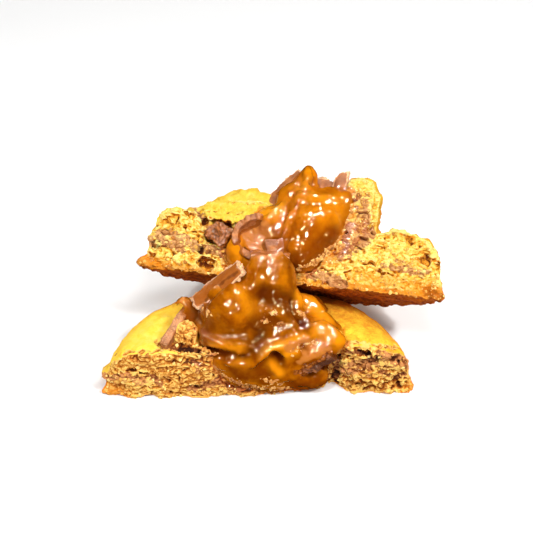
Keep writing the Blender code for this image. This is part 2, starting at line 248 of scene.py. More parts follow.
@dataclass(frozen=True)
class Layer:
    """One layer of relief: a pattern's size, its depth and its place.

    Args:
        size: The pattern's size, in millimetres.
        depth: How far it lifts or lowers the surface, in millimetres.
        shift: Added to a piece's seed, so that no two layers are alike.
        middle: The pattern's value that leaves the surface where it is.
    """

    size: float
    depth: float
    shift: float = 0.0
    middle: float = 0.0

    def waves(self, points: np.ndarray, seed: float = 0.0) -> np.ndarray:
        """The layer as waves, in millimetres."""
        return waves(points, self.size, seed + self.shift) * self.depth

    def clods(self, points: np.ndarray, seed: float = 0.0) -> np.ndarray:
        """The layer as clods, in millimetres."""
        return (clods(points, self.size, seed + self.shift) - self.middle) * self.depth

    def grains(self, points: np.ndarray, seed: float = 0.0) -> np.ndarray:
        """The layer as grains, in millimetres."""
        return (grains(points, self.size, seed + self.shift) - self.middle) * self.depth


@dataclass(frozen=True)
class HalfFrame:
    """One half's own frame: X along its tear, Y into the cookie, Z up through it.

    Args:
        place: Its origin in the pile, in millimetres.
        tilt: How far it leans back, in degrees.
        roll: How far it is turned about its own Y, in degrees.
        yaw: How far it is turned to the right, in degrees.
    """

    place: Triple = (0.0, 0.0, 0.0)
    tilt: float = 0.0
    roll: float = 0.0
    yaw: float = 0.0

    def matrix(self) -> Matrix:
        """Works out how the half lies.

        Returns:
            The matrix from the half's millimetres to the pile's.
        """
        turn = (
            Matrix.Rotation(math.radians(-self.yaw), 4, "Z")
            @ Matrix.Rotation(math.radians(-self.tilt), 4, "X")
            @ Matrix.Rotation(math.radians(self.roll), 4, "Y")
        )
        return Matrix.Translation(Vector(self.place) + Vector(PILE_SHIFT)) @ turn

    def inside(self, points: np.ndarray) -> np.ndarray:
        """Points of the pile in the half's frame.

        Args:
            points: Places in the pile, in millimetres.

        Returns:
            The same places in the half's frame.
        """
        back = np.array(self.matrix().inverted())
        return points @ back[:3, :3].T + back[:3, 3]

    def turned_in(self, directions: np.ndarray) -> np.ndarray:
        """Directions of the pile as directions in the half's frame."""
        return directions @ np.array(self.matrix())[:3, :3]


FRONT_HALF = HalfFrame()
BACK_HALF = HalfFrame(place=(7.3, 15.1, 32.9), tilt=45.5, roll=1.4, yaw=8.0)


@dataclass(frozen=True)
class PhotoView:
    """The camera that sees the pile as the photograph does.

    Args:
        target: The point in the middle of the picture, in the pile before its shift.
        distance: From the target to the camera, in millimetres.
        elevation: The camera's height above the horizon, in degrees.
        pixel_size: The size of a pixel at the target, in millimetres.
        sensor: The sensor's width, in millimetres.
    """

    target: Triple = (0.0, 18.0, 37.3)
    distance: float = 420.0
    elevation: float = 38.0
    pixel_size: float = 0.3125
    sensor: float = 36.0

    def back(self) -> Vector:
        """The direction from the target to the camera."""
        angle = math.radians(self.elevation)
        return Vector((0.0, -math.cos(angle), math.sin(angle)))

    def eye(self) -> Vector:
        """The camera's place, in millimetres."""
        return Vector(self.target) + Vector(PILE_SHIFT) + self.back() * self.distance

    def ray(self, pixel: Pixel) -> Vector:
        """The direction from the camera through a pixel.

        Args:
            pixel: The pixel's place across and down.

        Returns:
            A direction of length 1.
        """
        back = self.back()
        up = Vector((0.0, back.z, -back.y))
        middle = PHOTO_SIDE / 2
        far = self.distance / self.pixel_size
        across = Vector((1.0, 0.0, 0.0)) * (pixel[0] - middle)
        return (across + up * (middle - pixel[1]) - back * far).normalized()

    def set_up(self) -> None:
        """Adds the camera to the scene."""
        lens = bpy.data.cameras.new("photo_view")
        lens.sensor_width = self.sensor
        lens.lens = self.distance / self.pixel_size * self.sensor / PHOTO_SIDE
        camera = bpy.data.objects.new("photo_view", lens)
        camera.location = self.eye() * MM
        camera.rotation_euler = self.back().to_track_quat("Z", "Y").to_euler()
        bpy.context.scene.collection.objects.link(camera)
        bpy.context.scene.camera = camera


VIEW = PhotoView()


@dataclass(frozen=True)
class Stroke:
    """A mark along a line of pixels.

    Args:
        pixels: The line's pixels.
        reach: How far the mark reaches from its line, in millimetres.
        rise: How far it lifts the surface, or how strongly it paints it.
        flat: The share of the reach that the mark holds at full strength.
    """

    pixels: tuple[Pixel, ...]
    reach: float
    rise: float
    flat: float = 0.0

    def weight(self, away: np.ndarray) -> np.ndarray:
        """How strong the mark is at a distance from its line."""
        return smooth_step(away, self.reach, self.reach * self.flat)


class Skin:
    """A piece's points as arrays in millimetres, for shaping it by rules."""

    def __init__(self, piece: bpy.types.Object) -> None:
        """Reads the piece's mesh.

        Args:
            piece: The piece to shape.
        """
        self.piece = piece
        self.read()

    def read(self) -> None:
        """Reads the points, the normals and the edges again."""
        mesh = self.piece.data
        flat = np.empty(len(mesh.vertices) * 3)
        mesh.vertices.foreach_get("co", flat)
        self.points = flat.reshape(-1, 3) / MM
        self.read_normals()
        ends = np.empty(len(mesh.edges) * 2, np.int64)
        mesh.edges.foreach_get("vertices", ends)
        self.ends = ends.reshape(-1, 2)

    def read_normals(self) -> None:
        """Reads the normals again."""
        flat = np.empty(len(self.points) * 3)
        self.piece.data.vertex_normals.foreach_get("vector", flat)
        self.normals = flat.reshape(-1, 3)

    def write(self) -> None:
        """Writes the points back to the mesh."""
        mesh = self.piece.data
        mesh.vertices.foreach_set("co", (self.points * MM).ravel())
        mesh.update()
        self.read_normals()

    def relaxed(self, values: np.ndarray, rounds: int) -> np.ndarray:
        """Values averaged over each point's neighbours.

        Args:
            values: One number or one row for each point.
            rounds: How often they are averaged.

        Returns:
            The smoothed values.
        """
        if values.ndim == 2:
            return np.stack([self.relaxed(column, rounds) for column in values.T], axis=1)
        first, second = self.ends.T
        count = len(self.points)
        degree = 1.0 + np.bincount(self.ends.ravel(), minlength=count)
        for _ in range(rounds):
            total = values + np.bincount(first, values[second], count)
            total += np.bincount(second, values[first], count)
            values = total / degree
        return values

    def directions(self, rounds: int) -> np.ndarray:
        """The normals, smoothed and of length 1."""
        smooth = self.relaxed(self.normals, rounds)
        return smooth / np.maximum(np.linalg.norm(smooth, axis=1, keepdims=True), TINY)

    def sunk(self, rounds: int) -> np.ndarray:
        """How far each point lies below the surface round it, in millimetres."""
        hollow = self.relaxed(self.points, rounds) - self.points
        return (hollow * self.directions(3)).sum(axis=1)

    def store(self, mask: "Mask", values: np.ndarray) -> None:
        """Keeps a mask with the points, for a finish to read.

        Args:
            mask: The mask.
            values: One number for each point.
        """
        mesh = self.piece.data
        kept = mesh.attributes.get(mask.value)
        kept = kept or mesh.attributes.new(mask.value, "FLOAT", "POINT")
        kept.data.foreach_set("value", np.clip(values, 0.0, 1.0).astype(np.float32))

    def stand_on_floor(self) -> None:
        """Lifts every point that is below the floor onto it."""
        low = self.points[:, 2] < FLOOR_GAP
        self.points[low, 2] = FLOOR_GAP

    def tree(self) -> BVHTree:
        """A search tree of the piece's faces, in metres."""
        bpy.context.view_layer.update()
        return BVHTree.FromObject(self.piece, bpy.context.evaluated_depsgraph_get())

    def distances(self, tree: BVHTree, most: float) -> np.ndarray:
        """How far each point is from another piece.

        Args:
            tree: The other piece's search tree.
            most: The distance past which it no longer counts, in millimetres.

        Returns:
            Distances in millimetres, up to most.
        """
        away = np.full(len(self.points), most)
        for index, place in enumerate((self.points * MM).tolist()):
            found = tree.find_nearest(place, most * MM)
            if found[0] is not None:
                away[index] = found[3] / MM
        return away

    def nearest(self, trees: Sequence[BVHTree], most: float = 3.0) -> np.ndarray:
        """How far each point is from the nearest of several pieces, up to most."""
        return np.min([self.distances(tree, most) for tree in trees], axis=0)

    def marks(self, strokes: Sequence[Stroke], ragged: float = 0.0) -> list[np.ndarray]:
        """How strongly each stroke marks each point.

        Args:
            strokes: The strokes, each laid on the piece as the camera sees it.
            ragged: How uneven the strokes' edges are, in millimetres.

        Returns:
            One array of shares for each stroke.
        """
        tree = self.tree()
        eye = VIEW.eye() * MM
        uneven = waves(self.points, STROKE_GRAIN, STROKE_SEED) * ragged if ragged else 0.0
        found = []
        for stroke in strokes:
            line = []
            for pixel in between_pixels(stroke.pixels):
                hit = tree.ray_cast(eye, VIEW.ray(pixel))[0]
                if hit is not None:
                    line.append(np.array(hit) / MM)
            weight = np.zeros(len(self.points))
            if line:
                line = np.array(line)
                low, high = line.min(0) - stroke.reach, line.max(0) + stroke.reach
                near = np.all((self.points > low) & (self.points < high), axis=1)
                gaps = self.points[near][:, None, :] - line[None, :, :]
                away = np.sqrt((gaps**2).sum(axis=2).min(axis=1))
                offset = uneven[near] if ragged else 0.0
                weight[near] = stroke.weight(away + offset)
            found.append(weight)
        return found

    def sculpt(self, strokes: Sequence[Stroke]) -> None:
        """Raises and lowers the surface along strokes.

        Args:
            strokes: The strokes, whose rise is in millimetres.
        """
        outward = self.directions(6)
        for stroke, weight in zip(strokes, self.marks(strokes)):
            self.points += outward * (weight * stroke.rise)[:, None]
        self.write()

    def painted(self, strokes: Sequence[Stroke], ragged: float) -> np.ndarray:
        """How strongly several strokes paint each point.

        Args:
            strokes: The strokes, whose rise is their strength.
            ragged: How uneven their edges are, in millimetres.

        Returns:
            The strongest stroke's share at each point.
        """
        best = np.zeros(len(self.points))
        for stroke, weight in zip(strokes, self.marks(strokes, ragged)):
            best = np.maximum(best, weight * stroke.rise)
        return best


def between_pixels(pixels: Sequence[Pixel]) -> list[Pixel]:
    """Pixels a small step apart along a line.

    Args:
        pixels: The line's corners.

    Returns:
        The corners and the pixels between them.
    """
    line = [tuple(pixels[0])]
    for start, end in zip(pixels, pixels[1:]):
        steps = max(1, round(math.dist(start, end) / STROKE_PITCH))
        for step in range(1, steps + 1):
            share = step / steps
            line.append(tuple(a + (b - a) * share for a, b in zip(start, end)))
    return line


# -------- shader maths


class Socket:
    """A shader value that Python's operators work on: each one adds its node."""

    def __init__(self, graph: "Graph", output: bpy.types.NodeSocket) -> None:
        """Wraps a node's output.

        Args:
            graph: The graph that holds the node.
            output: The node's output.
        """
        self.graph = graph
        self.output = output

    def _math(self, operation: str, first: "Value", second: "Value") -> "Socket":
        """Adds a Math node."""
        return self.graph.node(
            "ShaderNodeMath", {"operation": operation}, {0: first, 1: second}
        )

    def __add__(self, other: "Value") -> "Socket":
        """self + other."""
        return self._math("ADD", self, other)

    def __radd__(self, other: "Value") -> "Socket":
        """other + self."""
        return self._math("ADD", other, self)

    def __sub__(self, other: "Value") -> "Socket":
        """self - other."""
        return self._math("SUBTRACT", self, other)

    def __rsub__(self, other: "Value") -> "Socket":
        """other - self."""
        return self._math("SUBTRACT", other, self)

    def __mul__(self, other: "Value") -> "Socket":
        """self * other."""
        return self._math("MULTIPLY", self, other)

    def __rmul__(self, other: "Value") -> "Socket":
        """other * self."""
        return self._math("MULTIPLY", other, self)

    def span(self, low: float, high: float) -> "Socket":
        """A smooth rise from 0 at low to 1 at high.

        Args:
            low: Where the rise starts.
            high: Where it ends.

        Returns:
            The mapped value.
        """
        return self.graph.node(
            "ShaderNodeMapRange",
            {"interpolation_type": "SMOOTHSTEP", "clamp": True},
            {"Value": self, "From Min": low, "From Max": high},
        )


Value = Socket | float


class Graph:
    """A material's nodes, built by expressions."""

    def __init__(self, name: str) -> None:
        """Starts a material with one Principled shader.

        Args:
            name: The material's name.
        """
        self.material = bpy.data.materials.new(name)
        self.material.use_nodes = True
        self.tree = self.material.node_tree
        self.shader = self.tree.nodes["Principled BSDF"]
        place = self.node("ShaderNodeTexCoord", {}, {}, "Object")
        self.place = self.node(
            "ShaderNodeVectorMath", {"operation": "SCALE"}, {0: place, "Scale": 1.0 / MM}
        )

    def node(
        self,
        kind: str,
        settings: dict[str, object],
        inputs: dict[int | str, object],
        output: int | str = 0,
    ) -> Socket:
        """Adds a node.

        Args:
            kind: The node's type.
            settings: Its settings, which are set first. "stops" fills a ramp.
            inputs: A value or a link for each of its sockets.
            output: The output that is wanted.

        Returns:
            That output.
        """
        made = self.tree.nodes.new(kind)
        for name, value in settings.items():
            if name == "stops":
                elements = made.color_ramp.elements
                while len(elements) < len(value):
                    elements.new(0.5)
                for element, (position, colour) in zip(elements, value):
                    element.position = position
                    element.color = colour
            else:
                setattr(made, name, value)
        for name, value in inputs.items():
            if isinstance(value, Socket):
                self.tree.links.new(value.output, made.inputs[name])
            else:
                made.inputs[name].default_value = value
        return Socket(self, made.outputs[output])

    def mask(self, mask: "Mask") -> Socket:
        """A mask that a piece keeps with its points."""
        return self.node("ShaderNodeAttribute", {"attribute_name": mask.value}, {}, "Fac")

    def noise(self, size: float, detail: float = 2.0, roughness: float = 0.5) -> Socket:
        """Noise over the surface.

        Args:
            size: Its size, in millimetres.
            detail: How many finer layers it has.
            roughness: How strong those layers are.

        Returns:
            A value from 0 to 1.
        """
        return self.node(
            "ShaderNodeTexNoise",
            {},
            {
                "Vector": self.place, "Scale": 1.0 / size,
                "Detail": detail, "Roughness": roughness,
            },
        )

    def ramp(self, factor: Value, stops: Sequence[tuple[float, Colour]]) -> Socket:
        """A colour read from a ramp.

        Args:
            factor: Where to read it.
            stops: The ramp's positions and colours, in order.

        Returns:
            The colour.
        """
        return self.node("ShaderNodeValToRGB", {"stops": stops}, {"Fac": factor})

    def mix(
        self, factor: Value, first: object, second: object, blend: str = "MIX"
    ) -> Socket:
        """A mix of two colours.

        Args:
            factor: The second colour's share.
            first: The first colour.
            second: The second colour.
            blend: How they are blended.

        Returns:
            The mixed colour.
        """
        return self.node(
            "ShaderNodeMix",
            {"data_type": "RGBA", "blend_type": blend},
            {0: factor, 6: first, 7: second},
            2,
        )

    def bump(self, height: Value, depth: float, normal: Socket | None = None) -> Socket:
        """A bumped normal.

        Args:
            height: The height, from 0 to 1.
            depth: What a height of 1 means, in millimetres.
            normal: A normal that is already bumped.

        Returns:
            The normal.
        """
        inputs = {"Height": height, "Distance": depth * MM}
        if normal:
            inputs["Normal"] = normal
        return self.node("ShaderNodeBump", {}, inputs, "Normal")

    def surface(self, **inputs: object) -> bpy.types.Material:
        """Sets the shader's sockets.

        Args:
            **inputs: Values or links, named as the sockets are, with _ for a space.

        Returns:
            The finished material.
        """
        for name, value in inputs.items():
            socket = self.shader.inputs[name.replace("_", " ")]
            if isinstance(value, Socket):
                self.tree.links.new(value.output, socket)
            else:
                socket.default_value = value
        return self.material


def shade(red: int, green: int, blue: int) -> Colour:
    """A shader colour from the 0 to 255 values that a colour chart gives.

    Args:
        red: The red value.
        green: The green value.
        blue: The blue value.

    Returns:
        The same colour in linear light.
    """
    linear = []
    for value in (red, green, blue):
        part = value / 255.0
        linear.append(part / 12.92 if part <= 0.04045 else ((part + 0.055) / 1.055) ** 2.4)
    return (*linear, 1.0)


# -------- finishes


class Mask(Enum):
    """What pieces keep with their points for their finishes."""

    TORN = "torn"
    # Painted shade in hollows, in gaps and along shaded marks
    HOLLOW_SHADE = "cavity"
    BAKED = "baked"
    BROWNED = "browned"
    COCOA = "cocoa"
    WET = "wet"
    # Thick caramel, and painted shade in its folds and hollows
    DEEP_AND_SHADED = "deep"
    # Thin caramel, and painted light on its lit tops and ridges
    THIN = "thin"
    MILKY = "milky"
    EDGE = "edge"
    GLAZE = "glaze"
    TONE = "tone"


@dataclass(frozen=True)
class DoughFinish:
    """Baked dough: dry golden crust, coarse crumb where it is torn, chocolate smears, with painted
    shade in their hollows.
    """

    name: str = "baked_dough"
    pale_crust: Colour = shade(247, 212, 100)
    crust: Colour = shade(251, 207, 70)
    deep_crust: Colour = shade(250, 192, 52)
    toasted: Colour = shade(228, 146, 36)
    foot: Colour = shade(232, 136, 26)
    underside: Colour = shade(196, 98, 16)
    scorched: Colour = shade(132, 58, 8)
    # The crumb's colours run from its tops down to painted shade in its hollows
    pale_crumb: Colour = shade(240, 196, 102)
    crumb: Colour = shade(198, 126, 46)
    deep_crumb: Colour = shade(148, 74, 20)
    crumb_in_shade: Colour = shade(80, 34, 8)
    pale_cocoa: Colour = shade(196, 128, 76)
    cocoa: Colour = shade(136, 76, 38)
    cocoa_in_shade: Colour = shade(50, 20, 8)
    syrup: Colour = shade(214, 122, 20)
    patch_size: float = 6.0
    mottle_size: float = 2.2
    speckle_size: float = 0.8
    grain_size: float = 0.45
    crust_relief: float = 0.5
    crumb_relief: float = 0.18

    def material(self) -> bpy.types.Material:
        """Builds the dough's material.

        Returns:
            The material.
        """
        graph = Graph(self.name)
        torn = graph.mask(Mask.TORN)
        wet = graph.mask(Mask.WET)
        patches = graph.noise(self.patch_size, detail=3.0, roughness=0.6)
        speckle = graph.noise(self.speckle_size, detail=3.0, roughness=0.7)
        grain = graph.noise(self.grain_size, detail=2.0, roughness=0.6)
        mottle = graph.noise(self.mottle_size, detail=3.0, roughness=0.65)
        uneven = patches * 0.28 + mottle * 0.60 + speckle * 0.32
        crust = graph.ramp(
            graph.mask(Mask.BAKED) * 0.6 + uneven - 0.12,
            [
                (0.40, self.pale_crust), (0.60, self.crust),
                (0.80, self.deep_crust), (1.00, self.toasted),
            ],
        )
        browned = graph.mask(Mask.BROWNED) + (speckle - 0.5) * 0.22
        # The hollow mask is painted shade: it darkens the crumb and the smears towards their
        # hollows
        depth = graph.mask(Mask.HOLLOW_SHADE) + (grain - 0.5) * 0.5 + (patches - 0.5) * 0.5
        crumb = graph.ramp(
            depth,
            [
                (0.10, self.pale_crumb), (0.33, self.crumb),
                (0.55, self.deep_crumb), (0.80, self.crumb_in_shade),
            ],
        )
        crumb = graph.mix(browned.span(0.12, 0.55) * 0.88, crumb, self.foot)
        crust = graph.mix(browned.span(0.12, 0.45), crust, self.foot)
        colour = graph.mix((torn + (speckle - 0.5) * 0.5).span(0.3, 0.55), crust, crumb)
        underside = graph.mix(mottle.span(0.35, 0.65), self.scorched, self.underside)
        colour = graph.mix(browned.span(0.62, 0.95), colour, underside)
        smear = graph.ramp(
            depth, [(0.15, self.pale_cocoa), (0.45, self.cocoa), (0.90, self.cocoa_in_shade)]
        )
        broken = (speckle - 0.5) * 1.1 + (mottle - 0.5) * 1.0
        settled = (depth - 0.35) * 0.7
        spread = (graph.mask(Mask.COCOA) * 1.1 + broken + settled - 0.05).span(0.30, 0.75)
        colour = graph.mix(spread * 0.92, colour, smear)
        colour = graph.mix(wet * 0.7, colour, self.syrup, "MULTIPLY")

        fine = graph.bump(speckle * 0.5 + mottle * 0.7, self.crust_relief)
        return graph.surface(
            Base_Color=colour, Roughness=0.8 - wet * 0.55 - spread * 0.2,
            Normal=graph.bump(grain, self.crumb_relief, fine), IOR=1.4,
            Specular_IOR_Level=0.1,
            Coat_Weight=wet, Coat_Roughness=0.06,
        )


@dataclass(frozen=True)
class CaramelFinish:
    """Thick glossy caramel: amber, brown where it is deep and where shade is painted, orange where
    it is thin and where light is painted.
    """

    name: str = "caramel"
    amber: Colour = shade(130, 60, 2)
    light_amber: Colour = shade(180, 100, 4)
    # Thick caramel and painted shade
    deep: Colour = shade(84, 30, 1)
    # Thin caramel and painted light
    thin: Colour = shade(232, 142, 14)
    milky: Colour = shade(186, 112, 44)
    sheen: Colour = (1.0, 0.74, 0.34, 1.0)
    cloud_size: float = 6.0
    ripple_size: float = 3.0
    swirl_size: float = 1.4
    ripple_relief: float = 0.2

    def material(self) -> bpy.types.Material:
        """Builds the caramel's material.

        Returns:
            The material.
        """
        graph = Graph(self.name)
        swirls = (graph.noise(self.swirl_size) - 0.5) * 0.5
        milky = (graph.mask(Mask.MILKY) + swirls).span(0.2, 0.8)
        clouds = graph.noise(self.cloud_size, detail=3.0, roughness=0.55)
        ripple = graph.noise(self.ripple_size, detail=1.0, roughness=0.4)
        colour = graph.mix(clouds.span(0.36, 0.68), self.amber, self.light_amber)
        colour = graph.mix(graph.mask(Mask.THIN), colour, self.thin)
        colour = graph.mix(milky, colour, self.milky)
        deep = graph.mask(Mask.DEEP_AND_SHADED)
        colour = graph.mix(deep, colour, self.deep)
        return graph.surface(
            Base_Color=colour, Roughness=0.02 + clouds * 0.01 + deep * 0.16,
            Normal=graph.bump(ripple, self.ripple_relief), IOR=1.47, Specular_IOR_Level=0.3,
            Specular_Tint=self.sheen, Subsurface_Weight=0.2,
            Subsurface_Scale=1.0 * MM, Subsurface_Radius=(2.0, 1.0, 0.15),
            Coat_Weight=1.0 - deep * 0.85, Coat_Roughness=0.015, Coat_IOR=1.55,
        )


@dataclass(frozen=True)
class ChocolateFinish:
    """Milk chocolate: satin, paler and rough where it broke, glossy under caramel, with painted
    shade in its gaps.
    """

    name: str = "milk_chocolate"
    milk: Colour = shade(192, 120, 66)
    shadowed: Colour = shade(138, 76, 38)
    broken: Colour = shade(240, 186, 136)
    glaze: Colour = shade(156, 82, 22)
    crevice_shade: Colour = shade(70, 28, 10)
    cloud_size: float = 3.2
    grain_size: float = 0.5
    cloud_relief: float = 0.3
    grain_relief: float = 0.14

    def material(self) -> bpy.types.Material:
        """Builds the chocolate's material.

        Returns:
            The material.
        """
        graph = Graph(self.name)
        clouds = graph.noise(self.cloud_size, detail=3.0, roughness=0.6)
        grain = graph.noise(self.grain_size, detail=2.0, roughness=0.6)
        crumbled = (graph.mask(Mask.EDGE) + (grain - 0.5) * 0.4).span(0.4, 0.8)
        film = (graph.mask(Mask.GLAZE) + (clouds - 0.5) * 0.4).span(0.25, 0.75)
        colour = graph.mix(clouds.span(0.3, 0.7), self.shadowed, self.milk)
        colour = graph.mix(crumbled, colour, self.broken)
        colour = graph.mix(film * 0.8, colour, self.glaze)
        # Painted shade in the gaps between chips and along the shaded marks
        colour = graph.mix(graph.mask(Mask.HOLLOW_SHADE) * 0.8, colour, self.crevice_shade)
        soft = graph.bump(clouds, self.cloud_relief)
        return graph.surface(
            Base_Color=colour, Roughness=0.44 + crumbled * 0.25 - film * 0.42,
            Normal=graph.bump(grain, self.grain_relief, soft), IOR=1.45,
            Specular_IOR_Level=0.3,
            Coat_Weight=film * 0.6, Coat_Roughness=0.08,
        )


@dataclass(frozen=True)
class CrumbFinish:
    """Loose crumbs, each of its own tone, and glossy where they are wet."""

    name: str = "loose_crumb"
    wet: float = 0.0
    pale: Colour = shade(255, 226, 136)
    gold: Colour = shade(238, 178, 74)
    toasted: Colour = shade(176, 98, 30)
    grain_size: float = 0.35
    grain_relief: float = 0.12

    def material(self) -> bpy.types.Material:
        """Builds the crumbs' material.

        Returns:
            The material.
        """
        graph = Graph(self.name)
        tone = graph.mask(Mask.TONE)
        grain = graph.noise(self.grain_size, detail=2.0, roughness=0.6)
        colour = graph.ramp(
            tone * 0.75 + grain * 0.3,
            [(0.15, self.pale), (0.55, self.gold), (0.95, self.toasted)],
        )
        return graph.surface(
            Base_Color=colour, Roughness=0.8, IOR=1.4,
            Normal=graph.bump(grain, self.grain_relief),
            Coat_Weight=self.wet, Coat_Roughness=0.06,
        )


# -------- dough


# How the crumb's pattern is drawn out along its layers, and the relief that it is made of
CRUMB_GRAIN = np.array((0.8, 1.0, 1.2))
CRUMB_WARP = Layer(2.0, 1.0)
CRUMB_CLODS = Layer(4.4, 0.80, 0.0, 0.62)
CRUMB_GRIT = Layer(1.3, 0.50, 4.0, 0.62)
CRUMB_SWELL = Layer(5.5, 0.7, 8.0)
CRUMB_LUMPS = Layer(2.3, 0.50, 12.0, 0.6)
CRUMB_PITS = Layer(3.2, 1.0, 21.0)
CRUMB_PIT_DEPTH = 1.3
CRUMB_PIT_BAND = (0.26, 0.60)

# How the warp differs from axis to axis, how far it bends the pattern, and how far the surface
WARP_STEP = 9.0
WARP_BEND = 1.6
WARP_SHARE = 0.25

# The crust's relief
CRUST_SWELL = Layer(6.0, 0.30)
CRUST_RIPPLE = Layer(2.4, 0.20)
CRUST_CLODS = Layer(5.5, 1.0, 6.0, 0.55)

# How uneven the borders of the tear, of the foot and of soaked dough are
TEAR_TURNS = Layer(1.6, 0.2, 5.0)
TEAR_BORDER = Layer(2.4, 0.8, 3.0)
FOOT_BORDER = Layer(3.0, 0.9, 2.0)
SOAKED_BORDER = Layer(1.5, 0.9, 4.0)

# Places on a half, in millimetres: from the tear's middle to its ends, and to the far rim
TEAR_ENDS = (36.0, 48.0)
FAR_RIM = (6.0, 36.0)

# Which way a face looks: torn ones forward, shaded ones away from the light, and down
TORN_FACING = (-0.25, -0.5)
SHADED_FACING = (0.40, -0.10)
UNDER_FACING = (-0.35, -0.8)

# The rounds of averaging that tell small and broad hollows, and how far those are sunk, for the
# shade that is painted in them
FINE_ROUNDS = 14
FINE_HOLLOWS = (-0.30, 0.55)
BROAD_ROUNDS = 80
BROAD_HOLLOWS = (-0.9, 1.3)

# The foot's tone, what the tear's ends add to it and to its height, and how it fades upwards
FOOT_TONE = 0.55
FOOT_END_TONE = 0.2
FOOT_END_RISE = 3.0
FOOT_FADE = (1.0, 0.2)

# How far caramel soaks into crust, how much further into crumb, and how that fades
SOAKED_REACH = 1.3
SOAKED_CRUMB_REACH = 1.1
SOAKED_FADE = (1.0, 0.25)


def crumbly(places: np.ndarray, seed: float) -> tuple[np.ndarray, np.ndarray]:
    """The relief of torn crumb: clods, soft swellings and a few deep pits.

    Args:
        places: Places in a half's frame, in millimetres.
        seed: The seed of the half's crumb.

    Returns:
        How far each place stands out, in millimetres, and how it is pushed sideways.
    """
    layered = places * CRUMB_GRAIN
    axes = [CRUMB_WARP.waves(layered, seed + axis * WARP_STEP) for axis in range(3)]
    warp = np.stack(axes, axis=1)
    layered = layered + warp * WARP_BEND
    pits = smooth_step(CRUMB_PITS.waves(layered, seed), *CRUMB_PIT_BAND)
    relief = CRUMB_CLODS.clods(layered, seed) + CRUMB_GRIT.clods(layered, seed)
    relief += CRUMB_LUMPS.grains(layered, seed)
    relief += CRUMB_SWELL.waves(layered, seed)
    relief -= pits * CRUMB_PIT_DEPTH
    return relief, warp * WARP_SHARE


